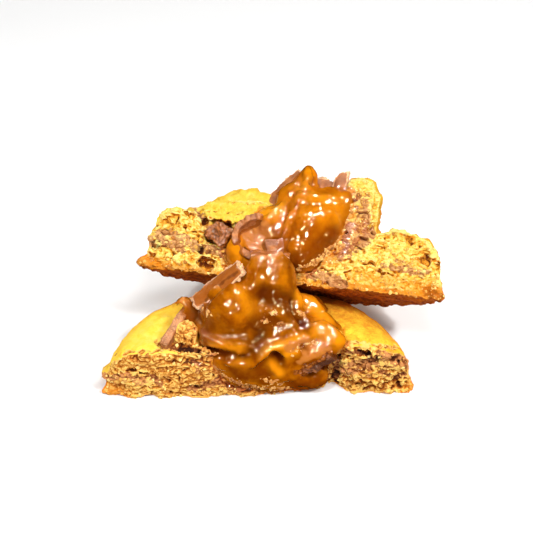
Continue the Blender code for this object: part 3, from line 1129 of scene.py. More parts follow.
@dataclass
class DoughHalf:
    """One half's baked dough, with its crust, its torn crumb and its chocolate smears.

    Args:
        name: The piece's name.
        node: The solid that it stands for.
        pockets: The solids of chocolate in it, whose hollows crumb fills.
        half: The half's frame.
        seed: Moves the crumb's pattern.
        coarse: How deep the crumb is at the tear's left and right end.
        baked: How deep the crust's colour is there.
        healed: Marks of crust that hangs over the tear.
        opened: Marks of crumb that shows past the tear.
        relief: Marks that lift or lower the surface.
        cocoa: Marks of melted chocolate.
        soaked: Marks of dough that is wet with caramel.
        scorched: Marks where the foot is browner.
        torn_foot: How strongly the foot's colour shows along the tear.
        pale_side: The direction that the paler crust faces; faces turned away from it get painted
            shade.
        craggy: How far the crust's clods stand out, in millimetres.
        voxel: The size of its faces before the torn ones are split twice, in millimetres.
        foot_height: How far up the foot reaches, in millimetres.
        rear_baked: How much deeper the crust's colour is at the far rim.
        ends_baked: How much deeper it is at the tear's ends.
        shaded_baked: How much deeper it is away from the pale side, as browner sides and painted
            shade.
        torn_depth: How far into the cookie the tear may reach, in millimetres.
        torn_fade: How far it takes to fade out there, in millimetres.
        side: Half the tear's length, in millimetres.
        filled: How far a pocket's crumb reaches past the pocket, in millimetres.
    """

    name: str
    node: str
    pockets: tuple[str, ...]
    half: HalfFrame
    seed: float
    coarse: tuple[float, float] = (1.0, 1.0)
    baked: tuple[float, float] = (0.2, 0.8)
    healed: tuple[Stroke, ...] = ()
    opened: tuple[Stroke, ...] = ()
    relief: tuple[Stroke, ...] = ()
    cocoa: tuple[Stroke, ...] = ()
    soaked: tuple[Stroke, ...] = ()
    scorched: tuple[Stroke, ...] = ()
    torn_foot: float = 0.6
    pale_side: Triple = (0.0, -0.79, 0.62)
    craggy: float = 0.3
    voxel: float = 0.80
    foot_height: float = 4.6
    rear_baked: float = 0.55
    ends_baked: float = 0.2
    shaded_baked: float = 0.30
    torn_depth: float = 9.0
    torn_fade: float = 1.6
    side: float = 40.0
    filled: float = 0.4
    skin: Skin = field(init=False)
    torn: np.ndarray = field(init=False)

    def build(self) -> bpy.types.Object:
        """Models the dough.

        Returns:
            The finished piece, without its material.
        """
        piece = copy_of_node(self.node, self.name)
        for node in self.pockets:
            filling = copy_of_node(node, f"{node}_filling")
            finish_with(filling, "DISPLACE", strength=self.filled * MM, mid_level=0.0)
            piece.select_set(True)
            bpy.context.view_layer.objects.active = piece
            bpy.ops.object.join()
        finish_with(piece, "REMESH", mode="VOXEL", voxel_size=self.voxel * MM)
        skin = self.skin = Skin(piece)
        for _ in range(2):
            torn = np.maximum(self.bare_tear(), skin.painted(self.opened, ragged=0.5))
            marked = np.array([torn[face.vertices[0]] > 0.25 for face in piece.data.polygons])
            split_marked_faces(piece, marked)
            skin.read()
            skin.points = skin.relaxed(skin.points, 1)
            skin.write()
        self.raise_crumb()
        piece.data.shade_smooth()
        return piece

    def bare_tear(self) -> np.ndarray:
        """Finds where the solid is torn, by the way it faces and its depth.

        Returns:
            1 on the tear and 0 on the crust, for each point.
        """
        local = self.half.inside(self.skin.points)
        inward = self.half.turned_in(self.skin.directions(3))[:, 1]
        inward += TEAR_TURNS.waves(local, self.seed)
        uneven = TEAR_BORDER.waves(local, self.seed)
        front = smooth_step(inward, *TORN_FACING)
        solid = self.torn_depth - self.torn_fade
        near = smooth_step(local[:, 1] + uneven, self.torn_depth, solid)
        return self.skin.relaxed(front * near, 2)

    def across(self, ends: tuple[float, float], places: np.ndarray) -> np.ndarray:
        """A value that changes from the tear's left to its right end.

        Args:
            ends: The value at either end.
            places: Places in the half's frame.

        Returns:
            One value for each place.
        """
        share = smooth_step(places[:, 0], -self.side, self.side)
        return ends[0] + (ends[1] - ends[0]) * share

    def raise_crumb(self) -> None:
        """Makes the torn crumb coarse and the crust faintly uneven."""
        skin = self.skin
        torn = np.maximum(self.bare_tear(), skin.painted(self.opened, ragged=1.4))
        for stroke, weight in zip(self.healed, skin.marks(self.healed, ragged=1.6)):
            torn = torn * (1.0 - smooth_step(weight, 0.2, 0.6))
            skin.points += skin.directions(6) * (weight * stroke.rise)[:, None]
        skin.write()
        self.torn = skin.relaxed(torn, 1)
        skin.sculpt(self.relief)
        local = self.half.inside(skin.points)
        crust = CRUST_SWELL.waves(local, self.seed) + CRUST_RIPPLE.waves(local, self.seed)
        crust += CRUST_CLODS.clods(local, self.seed) * self.craggy
        height = crust * (1.0 - self.torn)
        rough = self.torn > 0.02
        relief, warp = crumbly(local[rough], self.seed)
        height[rough] += relief * self.across(self.coarse, local[rough]) * self.torn[rough]
        skin.points += skin.directions(4) * height[:, None]
        skin.points[rough] += warp * self.torn[rough][:, None]
        skin.stand_on_floor()
        skin.write()

    def dress(self, caramel: Sequence[BVHTree], finish: bpy.types.Material) -> None:
        """Paints the dough's masks and gives it its material.

        Args:
            caramel: The search trees of the caramel, which soaks what it touches.
            finish: The dough's material.
        """
        skin = self.skin
        local = self.half.inside(skin.points)
        ends = smooth_step(np.abs(local[:, 0]), *TEAR_ENDS)
        fine = smooth_step(skin.sunk(FINE_ROUNDS), *FINE_HOLLOWS)
        broad = smooth_step(skin.sunk(BROAD_ROUNDS), *BROAD_HOLLOWS)
        skin.store(Mask.TORN, self.torn)
        # Painted shade: the torn crumb is darkened in its small and broad hollows
        skin.store(Mask.HOLLOW_SHADE, (fine + broad) * 0.5 * self.torn)
        skin.store(Mask.BAKED, self.crust_tone(local, ends))
        skin.store(Mask.BROWNED, self.browned(local, ends))
        skin.store(Mask.WET, self.wetness(local, caramel))
        skin.store(Mask.COCOA, skin.painted(self.cocoa, ragged=1.1))
        hand_over(skin.piece, finish, self.node)

    def crust_tone(self, local: np.ndarray, ends: np.ndarray) -> np.ndarray:
        """How deep the crust's colour is, with painted shade where faces turn from the pale side.

        Args:
            local: The points in the half's frame.
            ends: How near each point is to an end of the tear, from 0 to 1.

        Returns:
            One value for each point.
        """
        rear = smooth_step(local[:, 1], *FAR_RIM) * self.rear_baked
        # Browner sides, and painted warm shade on faces turned from the pale side
        towards = self.skin.directions(6) @ np.array(self.pale_side)
        away = smooth_step(towards, *SHADED_FACING) * self.shaded_baked
        return self.across(self.baked, local) + rear + ends * self.ends_baked + away

    def browned(self, local: np.ndarray, ends: np.ndarray) -> np.ndarray:
        """How brown the foot, the scorched marks and the underside are.

        Args:
            local: The points in the half's frame.
            ends: How near each point is to an end of the tear, from 0 to 1.

        Returns:
            One value for each point: the underside's is the highest.
        """
        uneven = FOOT_BORDER.waves(local, self.seed)
        height = self.foot_height + ends * FOOT_END_RISE
        share = 1.0 - self.torn * (1.0 - ends * 0.5) * (1.0 - self.torn_foot)
        foot = smooth_step((local[:, 2] + uneven) / height, *FOOT_FADE)
        foot *= (FOOT_TONE + FOOT_END_TONE * ends) * share
        foot = np.maximum(foot, self.skin.painted(self.scorched, ragged=1.0))
        upward = self.half.turned_in(self.skin.directions(3))[:, 2]
        return np.maximum(foot, smooth_step(upward, *UNDER_FACING))

    def wetness(self, local: np.ndarray, caramel: Sequence[BVHTree]) -> np.ndarray:
        """How far caramel has soaked the dough.

        Args:
            local: The points in the half's frame.
            caramel: The search trees of the caramel.

        Returns:
            One value for each point.
        """
        away = self.skin.nearest(caramel) + SOAKED_BORDER.waves(local, self.seed)
        reach = SOAKED_REACH + self.torn * SOAKED_CRUMB_REACH
        wet = smooth_step(away / reach, *SOAKED_FADE)
        return np.maximum(wet, self.skin.painted(self.soaked, ragged=1.2))


# A pocket's own relief, how its chocolate comes and goes, and how dark its hollows are painted, as
# shade
POCKET_SWELL = Layer(2.0, 0.5, 1.0)
POCKET_SMEAR = Layer(2.0, 0.5)

POCKET_HOLLOWS = (-0.3, 0.6)
POCKET_HOLLOW_SHADE = 0.9


@dataclass
class MeltedPocket:
    """Chocolate that melted into the crumb, and is as craggy as the crumb round it.

    Args:
        node: The solid that it stands for.
        half: The half's frame.
        seed: The seed of the half's crumb.
        voxel: The size of its faces, in millimetres.
        swell: How far it reaches past its solid, in millimetres.
        coarse: How much deeper its crumb is than the crumb round it.
        smeared: How much of it is chocolate, from 0 to 1.
    """

    node: str
    half: HalfFrame
    seed: float
    voxel: float = 0.34
    swell: float = 0.20
    coarse: float = 1.1
    smeared: float = 0.72

    def build(self, finish: bpy.types.Material) -> None:
        """Models the pocket and dresses it.

        Args:
            finish: The material of the dough round it.
        """
        piece = copy_of_node(self.node, f"{self.node}_crumbly")
        finish_with(piece, "DISPLACE", strength=self.swell * MM, mid_level=0.0)
        finish_with(piece, "REMESH", mode="VOXEL", voxel_size=self.voxel * MM)
        skin = Skin(piece)
        local = self.half.inside(skin.points)
        relief, warp = crumbly(local, self.seed)
        relief = relief * self.coarse + POCKET_SWELL.waves(local, self.seed)
        skin.points += skin.directions(3) * relief[:, None] + warp
        skin.stand_on_floor()
        skin.write()
        skin.store(Mask.TORN, np.ones(len(local)))
        # Painted shade in the pocket's hollows
        hollows = smooth_step(skin.sunk(FINE_ROUNDS), *POCKET_HOLLOWS)
        skin.store(Mask.HOLLOW_SHADE, hollows * POCKET_HOLLOW_SHADE)
        skin.store(Mask.COCOA, self.smeared + POCKET_SMEAR.waves(local, self.seed))
        piece.data.shade_smooth()
        hand_over(piece, finish, self.node)


# -------- caramel

# The relief of settled caramel, and how its fine streaks are drawn out
CARAMEL_SWELL = Layer(4.5, 0.30, 2.0)
CARAMEL_RIPPLE = Layer(2.2, 0.14, 6.0)
CARAMEL_STREAKS = Layer(1.5, 0.16, 5.0)
STREAK_GRAIN = np.array((1.0, 0.35, 0.35))

# The bubbles that break its highlights up, which lie in fields of their own
BUBBLE_FIELDS = Layer(6.5, 1.0, 9.0)
BUBBLE_BAND = (-0.10, 0.25)
CARAMEL_BUBBLES = Layer(1.25, 1.0, 14.0)
CARAMEL_PEARLS = Layer(0.95, 1.0, 21.0)

# How high they stand everywhere, and how much higher in those fields, in millimetres
BUBBLE_RISE = 0.05
BUBBLE_FIELD_RISE = 0.17
PEARL_RISE = 0.04
PEARL_FIELD_RISE = 0.18

# The rounds of averaging that tell pools from ridges, how far those are sunk, and their share:
# pools are painted darker, as thick caramel and painted shade, and ridges lighter, as thin caramel
# and painted light
POOL_ROUNDS = 40
POOLS = (0.05, 0.9)
POOL_SHARE = 0.7
RIDGES = (-0.35, -1.4)
RIDGE_SHARE = 0.25
BLEND_ROUNDS = 8


@dataclass
class CaramelFlow:
    """A body of caramel that ran and set in folds.

    Args:
        name: The piece's name.
        node: The solid that it stands for.
        folds: Marks that lift or lower it.
        beads: Pixels of small drops that catch the light.
        deep: Marks where it is thick and dark, and of painted shade.
        thin: Marks where it is thin and bright, and of painted light.
        milky: Marks where chocolate has mixed into it.
        voxel: The size of its faces, in millimetres.
        swell: How far it reaches past its solid, to touch what holds it.
        fold_share: How much of each fold is left once the caramel has settled.
        bead_reach: How far a bead reaches, in millimetres.
        bead_rise: How high a bead is, in millimetres.
    """

    name: str
    node: str
    folds: tuple[Stroke, ...] = ()
    beads: tuple[Pixel, ...] = ()
    deep: tuple[Stroke, ...] = ()
    thin: tuple[Stroke, ...] = ()
    milky: tuple[Stroke, ...] = ()
    voxel: float = 0.29
    swell: float = 0.55
    fold_share: float = 1.1
    bead_reach: float = 1.4
    bead_rise: float = 0.24
    skin: Skin = field(init=False)

    def build(self) -> bpy.types.Object:
        """Models the caramel.

        Returns:
            The finished piece, without its material.
        """
        piece = copy_of_node(self.node, self.name)
        finish_with(piece, "DISPLACE", strength=self.swell * MM, mid_level=0.0)
        finish_with(piece, "REMESH", mode="VOXEL", voxel_size=self.voxel * MM)
        finish_with(piece, "SMOOTH", factor=0.5, iterations=24)
        skin = self.skin = Skin(piece)
        outward = skin.directions(6)
        for fold, weight in zip(self.folds, skin.marks(self.folds)):
            skin.points += outward * (weight * fold.rise * self.fold_share)[:, None]
        places = skin.points
        beaded = smooth_step(BUBBLE_FIELDS.waves(places), *BUBBLE_BAND)
        height = CARAMEL_SWELL.waves(places) + CARAMEL_RIPPLE.waves(places)
        risen = BUBBLE_RISE + BUBBLE_FIELD_RISE * beaded
        height += CARAMEL_BUBBLES.waves(places) * risen
        height += CARAMEL_STREAKS.waves(places * STREAK_GRAIN)
        skin.points = places + outward * height[:, None]
        skin.write()
        finish_with(piece, "SMOOTH", factor=0.5, iterations=5)
        skin.read()
        risen = PEARL_RISE + PEARL_FIELD_RISE * beaded
        fine = CARAMEL_PEARLS.waves(skin.points) * risen
        skin.points += skin.directions(6) * fine[:, None]
        skin.points = skin.relaxed(skin.points, 1)
        skin.write()
        skin.sculpt([Stroke((bead,), self.bead_reach, self.bead_rise) for bead in self.beads])
        skin.stand_on_floor()
        skin.write()
        piece.data.shade_smooth()
        return piece

    def dress(self, finish: bpy.types.Material) -> None:
        """Paints deep caramel and painted shade, thin caramel and painted light, and milky caramel,
        and gives it its material.

        Args:
            finish: The caramel's material.
        """
        skin = self.skin
        sunk = skin.sunk(POOL_ROUNDS)
        marks = (self.deep, self.thin, self.milky)
        deep, thin, milky = [skin.painted(strokes, ragged=0.6) for strokes in marks]
        # Pools are painted darker: thick caramel and painted shade
        deep = deep + smooth_step(sunk, *POOLS) * POOL_SHARE
        # Ridges are painted lighter: thin caramel and painted light
        thin = thin + smooth_step(sunk, *RIDGES) * RIDGE_SHARE
        skin.store(Mask.DEEP_AND_SHADED, skin.relaxed(deep, BLEND_ROUNDS))
        skin.store(Mask.THIN, skin.relaxed(thin, BLEND_ROUNDS))
        skin.store(Mask.MILKY, skin.relaxed(milky, 3))
        hand_over(skin.piece, finish, self.node)


# -------- chocolate


# The relief of broken chocolate, and the gaps between its chips, where shade is painted
CHOCOLATE_RIPPLE = Layer(3.0, 0.20)
CHOCOLATE_CHIPS = Layer(1.2, 0.5, 0.0, 0.55)
CHIP_HOLLOWS = (-0.02, -0.25)

# How far from caramel chocolate is glazed, in millimetres, and how uneven that border is
GLAZE_FADE = (1.9, 0.5)
GLAZE_BORDER = Layer(2.2, 1.0, 3.0)

# How often a shell's rim is jagged, coarse and fine, and how uneven its pale line is
COARSE_JAGS = 2.1
FINE_JAGS = 6.0
FINE_JAG_SHARE = 0.6
RIM_FACING = (0.75, 0.35)
RIM_BORDER = Layer(1.6, 0.08)

# The same for a bowl
BOWL_JAGS = Layer(1.0, 1.0)
BOWL_NICKS = Layer(0.3, 0.4, 5.0)
BOWL_JAG_STRETCH = 6.0
BOWL_RIM_FACING = (0.45, 0.8)

# A chunk's sides, as shares of its least side, and how far its pale corners stand out
CHUNK_SWELL = Layer(3.0, 0.24)
CHUNK_DENTS = Layer(1.4, 0.10, 2.0)
CHUNK_CORNERS = (0.10, 0.34)


def facing(along: Triple, face: Triple) -> Matrix:
    """The rotation that lays X along one direction and Z towards another.

    Args:
        along: Where X goes.
        face: What Z is turned to, as nearly as X allows.

    Returns:
        The rotation.
    """
    x = Vector(along).normalized()
    y = Vector(face).cross(x).normalized()
    return Matrix((x, y, x.cross(y))).transposed().to_4x4()


@dataclass
class ChocolatePiece:
    """What all standing pieces of chocolate share.

    Args:
        node: The solid that it stands for.
        half: The half's frame.
        size: Its length, width and thickness, in millimetres.
        place: Its middle, in the half's frame.
        seed: Moves its patterns.
        glazed: How much of it caramel has run over, from 0 to 1.
        rounding: How far its corners have melted.
        chipped: How much its broken sides differ from the rest.
        rugged: How rough the rest of it is.
        shaded: Marks of painted shade, where it is darkened.
        voxel: The size of its faces, in millimetres.
    """

    node: str
    half: HalfFrame
    size: Triple
    place: Triple
    seed: float = 0.0
    glazed: float = 0.0
    rounding: int = 2
    chipped: float = 1.0
    rugged: float = 0.0
    shaded: tuple[Stroke, ...] = ()
    voxel: float = 0.25

    def form(self) -> bpy.types.Object:
        """Models the piece round the origin, in metres."""
        raise NotImplementedError

    def turn(self) -> Matrix:
        """How the piece is turned in its half."""
        raise NotImplementedError

    def build(self, caramel: Sequence[BVHTree], finish: bpy.types.Material) -> None:
        """Models the piece, puts it in place and dresses it.

        Args:
            caramel: The search trees of the caramel round it.
            finish: The chocolate's material.
        """
        piece = self.form()
        piece.name = f"{self.node}_broken"
        matrix = self.half.matrix() @ Matrix.Translation(self.place) @ self.turn()
        matrix.translation *= MM
        piece.data.transform(matrix)
        finish_with(piece, "REMESH", mode="VOXEL", voxel_size=self.voxel * MM)
        finish_with(piece, "SMOOTH", factor=0.5, iterations=self.rounding)
        skin = Skin(piece)
        edge = self.edge(skin) * self.chipped
        points = skin.points
        outward = skin.directions(3)
        ripple = CHOCOLATE_RIPPLE.waves(points, self.seed)
        chips = CHOCOLATE_CHIPS.clods(points, self.seed)
        share = np.maximum(edge, self.rugged)
        skin.points = points + outward * (ripple + chips * share)[:, None]
        skin.stand_on_floor()
        skin.write()
        uneven = GLAZE_BORDER.waves(skin.points, self.seed)
        touched = smooth_step(skin.nearest(caramel) + uneven * 1.2, *GLAZE_FADE)
        glaze = np.maximum(touched, self.glazed * (0.75 + uneven * 0.5))
        # Painted shade in the chips' gaps and along the shaded marks
        hollow = smooth_step(chips * share, *CHIP_HOLLOWS)
        skin.store(Mask.EDGE, edge)
        skin.store(Mask.GLAZE, glaze * (1.0 - edge * 0.7))
        shaded = skin.painted(self.shaded, ragged=0.5)
        skin.store(Mask.HOLLOW_SHADE, np.maximum(hollow, shaded))
        piece.data.shade_smooth()
        hand_over(piece, finish, self.node)

    def edge(self, skin: Skin) -> np.ndarray:
        """Where the piece is broken, from 0 to 1."""
        raise NotImplementedError


@dataclass
class ShellShard(ChocolatePiece):
    """A broken piece of shell: a curled plate with ragged rims.

    Args:
        along: The direction of its length.
        face: The direction that its outer face looks.
        curl: The radius that its width is bent to, in millimetres.
        jag: How ragged its rims are, in millimetres.
        rim_line: Where its pale rim starts, as a share of the way out.
        rim_fade: How far it takes to be fully pale, as the same share.
        narrowing: The share of its width that it loses towards its ends.
    """

    along: Triple = (1.0, 0.0, 0.0)
    face: Triple = (0.0, 0.0, 1.0)
    curl: float = 12.0
    jag: float = 0.8
    rim_line: float = 0.84
    rim_fade: float = 0.12
    narrowing: float = 0.28

    def form(self) -> bpy.types.Object:
        """Bends a grid to a shell and gives it its thickness.

        Returns:
            The shell, round the origin.
        """
        length, width, thickness = self.size
        bpy.ops.mesh.primitive_grid_add(x_subdivisions=40, y_subdivisions=24, size=1.0)
        piece = new_primitive(self.node)
        points = np.empty(len(piece.data.vertices) * 3)
        piece.data.vertices.foreach_get("co", points)
        u, v, _ = points.reshape(-1, 3).T * 2.0
        seed = length + width
        level = u * 0.0 + seed
        places = np.stack((u * COARSE_JAGS, v * COARSE_JAGS, level), axis=1)
        coarse = waves(places, 1.0, 0.0)
        places = np.stack((u * FINE_JAGS, v * FINE_JAGS, level), axis=1)
        fine = waves(places, 1.0, 7.0)
        ragged = coarse * self.jag + fine * self.jag * FINE_JAG_SHARE
        half = width / 2 * (1 - self.narrowing * u * u) + ragged * np.abs(v)
        angle = v * half / self.curl
        bent = np.stack(
            (
                u * length / 2 + ragged * np.abs(u),
                self.curl * np.sin(angle),
                self.curl * (np.cos(angle) - 1),
            ),
            axis=1,
        )
        piece.data.vertices.foreach_set("co", (bent * MM).ravel())
        finish_with(piece, "SOLIDIFY", thickness=thickness * MM, offset=0.0)
        return piece

    def turn(self) -> Matrix:
        """The shell's turn from its two directions."""
        return facing(self.along, self.face)

    def edge(self, skin: Skin) -> np.ndarray:
        """Finds the rims, whose normals lie in the plate.

        Args:
            skin: The shell in its place.

        Returns:
            1 on a rim and 0 off it, for each point.
        """
        matrix = self.half.matrix() @ Matrix.Translation(self.place) @ self.turn()
        turned = np.array(matrix.to_3x3())
        side_on = smooth_step(np.abs((skin.directions(2) @ turned)[:, 2]), *RIM_FACING)
        local = (skin.points - np.array(matrix.translation)) @ turned
        length, width, _ = self.size
        uneven = RIM_BORDER.waves(local, self.seed)
        along = np.abs(local[:, 0]) / (length / 2) + uneven
        narrowed = 1.0 - self.narrowing * np.clip(along, 0.0, 1.0) ** 2
        across = np.abs(local[:, 1]) / (width / 2 * narrowed) + uneven
        full = self.rim_line + self.rim_fade
        rim = smooth_step(np.maximum(along, across), self.rim_line, full)
        return skin.relaxed(np.maximum(side_on, rim), 1)


@dataclass
class ShellBowl(ChocolatePiece):
    """A broken piece of a round shell that opens forward, its rim thick and ragged.

    Args:
        around: The span of its rim, counted from +X, in degrees.
        depth: The span from its bottom to its rim, in degrees.
        thickness: Its wall, in millimetres.
        jag: How ragged its rim is, in millimetres.
    """

    around: tuple[float, float] = (84.0, 280.0)
    depth: tuple[float, float] = (26.0, 86.0)
    thickness: float = 2.1
    jag: float = 1.6

    def form(self) -> bpy.types.Object:
        """Lays a grid on an ellipsoid whose half sizes are the piece's size.

        Returns:
            The bowl, round the origin.
        """
        bpy.ops.mesh.primitive_grid_add(x_subdivisions=60, y_subdivisions=24, size=1.0)
        piece = new_primitive(self.node)
        points = np.empty(len(piece.data.vertices) * 3)
        piece.data.vertices.foreach_get("co", points)
        u, v, _ = points.reshape(-1, 3).T + 0.5
        turn = np.radians(self.around[0] + (self.around[1] - self.around[0]) * u)
        deep = np.radians(self.depth[0] + (self.depth[1] - self.depth[0]) * v)
        places = np.stack((u * BOWL_JAG_STRETCH, v * 2.0, u * 0.0 + self.size[0]), axis=1)
        ragged = (BOWL_JAGS.waves(places) + BOWL_NICKS.waves(places)) * self.jag * v
        bent = np.stack(
            (
                self.size[0] * np.sin(deep) * np.cos(turn),
                self.size[1] * np.cos(deep) + ragged,
                self.size[2] * np.sin(deep) * np.sin(turn),
            ),
            axis=1,
        )
        piece.data.vertices.foreach_set("co", (bent * MM).ravel())
        finish_with(piece, "SOLIDIFY", thickness=self.thickness * MM, offset=0.0)
        return piece

    def turn(self) -> Matrix:
        """The bowl isn't turned in its half."""
        return Matrix.Identity(4)

    def edge(self, skin: Skin) -> np.ndarray:
        """The rim, which looks forward."""
        forward = -self.half.turned_in(skin.directions(2))[:, 1]
        return skin.relaxed(smooth_step(forward, *BOWL_RIM_FACING), 2)


@dataclass
class ChocolateChunk(ChocolatePiece):
    """A chunk of solid chocolate with melted corners.

    Args:
        turned: Its turns about X, Y and Z, in degrees.
        bevelled: How wide its rounded corners are, as a share of its least side.
    """

    turned: Triple = (0.0, 0.0, 0.0)
    bevelled: float = 0.14

    def form(self) -> bpy.types.Object:
        """Rounds a block's corners and makes its sides uneven.

        Returns:
            The chunk, round the origin.
        """
        bpy.ops.mesh.primitive_cube_add(size=1.0)
        piece = new_primitive(self.node)
        piece.data.transform(Matrix.Diagonal((*[side * MM for side in self.size], 1.0)))
        select_only(piece)
        bpy.ops.object.mode_set(mode="EDIT")
        bpy.ops.mesh.select_all(action="SELECT")
        width = self.bevelled * min(self.size) * MM
        bpy.ops.mesh.bevel(offset=width, segments=3, affect="EDGES")
        bpy.ops.mesh.select_all(action="SELECT")
        bpy.ops.mesh.subdivide(number_cuts=5)
        bpy.ops.object.mode_set(mode="OBJECT")
        skin = Skin(piece)
        reach = np.maximum(np.linalg.norm(skin.points, axis=1, keepdims=True), 1e-6)
        push = CHUNK_SWELL.waves(skin.points, self.seed) + CHUNK_DENTS.waves(skin.points)
        push *= min(self.size)
        skin.points += skin.points / reach * push[:, None]
        skin.write()
        return piece

    def turn(self) -> Matrix:
        """Turns the chunk by its three angles in order.

        Returns:
            The turn.
        """
        turn = Matrix.Identity(4)
        for angle, axis in zip(self.turned, "XYZ"):
            turn = Matrix.Rotation(math.radians(angle), 4, axis) @ turn
        return turn

    def edge(self, skin: Skin) -> np.ndarray:
        """Finds the corners, and patches where it broke.

        Args:
            skin: The chunk in its place.

        Returns:
            1 on a corner and 0 on a face, for each point.
        """
        hollow = skin.relaxed(skin.points, FINE_ROUNDS) - skin.points
        bulge = -(hollow * skin.directions(2)).sum(axis=1)
        return smooth_step(bulge, *CHUNK_CORNERS)


# -------- crumbs


# The form of a loose crumb of radius 1: what its corners lose, and how uneven it is
CRUMB_CUBE = 1.4
CRUMB_ROUNDNESS = 0.55
CRUMB_FORM = Layer(0.9, 0.75, 1.5)
CRUMB_KIND_STEP = 4.0
CRUMB_STRETCH = (0.75, 0.5)


@dataclass
class CrumbScatter:
    """Loose crumbs that lie on the torn faces.

    Args:
        name: The piece's name.
        count: How many crumbs there are.
        sizes: The smallest and the largest crumb's radius, in millimetres.
        seed: The seed of every draw.
        sink: How far a crumb is sunk, as a share of its radius.
        kinds: How many different crumbs there are.
        fineness: How much commoner small crumbs are than large ones.
        most_turn: The largest turn of a crumb, in radians.
    """

    name: str
    count: int
    sizes: tuple[float, float]
    seed: int
    sink: float = 0.25
    kinds: int = 4
    fineness: float = 2.2
    most_turn: float = 6.28

    def crumb(self, kind: int) -> tuple[np.ndarray, np.ndarray]:
        """Models one crumb by hand and takes its mesh.

        Args:
            kind: Which of the crumbs it is.

        Returns:
            Its points, about 1 in radius, and its faces.
        """
        bpy.ops.mesh.primitive_cube_add(size=CRUMB_CUBE)
        piece = new_primitive(f"crumb_{kind}")
        bpy.ops.object.mode_set(mode="EDIT")
        bpy.ops.mesh.select_all(action="SELECT")
        bpy.ops.mesh.subdivide(number_cuts=1)
        bpy.ops.transform.tosphere(value=CRUMB_ROUNDNESS)
        bpy.ops.object.mode_set(mode="OBJECT")
        points = np.array([vertex.co for vertex in piece.data.vertices])
        faces = np.array([face.vertices for face in piece.data.polygons])
        points *= 1.0 + CRUMB_FORM.waves(points, kind * CRUMB_KIND_STEP)[:, None]
        bpy.data.objects.remove(piece)
        return points, faces

    def build(self, places: np.ndarray, finish: bpy.types.Material) -> None:
        """Lays the crumbs and dresses them.

        Args:
            places: Rows of a place and an outward direction, one for each crumb.
            finish: The crumbs' material.
        """
        draw = np.random.default_rng(self.seed)
        shapes = [self.crumb(kind) for kind in range(self.kinds)]
        points, faces, tones, start = [], [], [], 0
        for row in places:
            shape, sides = shapes[draw.integers(self.kinds)]
            small, large = self.sizes
            radius = small + (large - small) * draw.random() ** self.fineness
            angle = draw.random() * self.most_turn
            turn = Matrix.Rotation(angle, 3, Vector(draw.normal(size=3)))
            stretch = CRUMB_STRETCH[0] + draw.random(3) * CRUMB_STRETCH[1]
            middle = row[:3] - row[3:] * radius * self.sink
            points.append((shape * stretch) @ np.array(turn) * radius + middle)
            faces.append(sides + start)
            tones.append(np.full(len(shape), draw.random()))
            start += len(shape)
        mesh = bpy.data.meshes.new(self.name)
        mesh.from_pydata(
            (np.concatenate(points) * MM).tolist(), [], np.concatenate(faces).tolist()
        )
        piece = bpy.data.objects.new(self.name, mesh)
        bpy.context.scene.collection.objects.link(piece)
        skin = Skin(piece)
        skin.stand_on_floor()
        skin.write()
        skin.store(Mask.TONE, np.concatenate(tones))
        mesh.shade_smooth()
        hand_over(piece, finish)

    def spots(self, skin: Skin, wanted: np.ndarray) -> np.ndarray:
        """Draws places on a piece.

        Args:
            skin: The piece that carries the crumbs.
            wanted: How much each point of it wants crumbs.

        Returns:
            Rows of a place and an outward direction.
        """
        draw = np.random.default_rng(self.seed + 1)
        chosen = draw.choice(len(wanted), self.count, p=wanted / wanted.sum())
        return np.hstack((skin.points[chosen], skin.directions(2)[chosen]))


# -------- the studio


@dataclass(frozen=True)
class SoftLight:
    """A square lamp that looks at the pile.

    Args:
        name: The lamp's name.
        azimuth: Where it stands round the pile, in degrees from the camera's side.
        elevation: Its height above the horizon, in degrees.
        side: Its size, in metres.
        power: Its power, in watts.
        mirrored: Whether gloss shows it.
        distance: How far it stands from the middle, in metres.
        lighting: Whether it lights what isn't glossy.
        tint: The colour of a lamp that only gloss shows.
    """

    name: str
    azimuth: float
    elevation: float
    side: float
    power: float
    mirrored: bool = False
    distance: float = 0.6
    lighting: bool = True
    tint: Triple = (1.0, 0.92, 0.78)

    def set_up(self) -> None:
        """Adds the lamp to the scene."""
        around, above = math.radians(self.azimuth), math.radians(self.elevation)
        towards = Vector((
            math.sin(around) * math.cos(above),
            -math.cos(around) * math.cos(above),
            math.sin(above),
        ))
        lamp = bpy.data.lights.new(self.name, "AREA")
        lamp.size = self.side
        lamp.energy = self.power
        if not self.lighting:
            lamp.color = self.tint
        holder = bpy.data.objects.new(self.name, lamp)
        holder.location = towards * self.distance
        holder.rotation_euler = towards.to_track_quat("Z", "Y").to_euler()
        holder.visible_glossy = self.mirrored
        holder.visible_diffuse = self.lighting
        bpy.context.scene.collection.objects.link(holder)


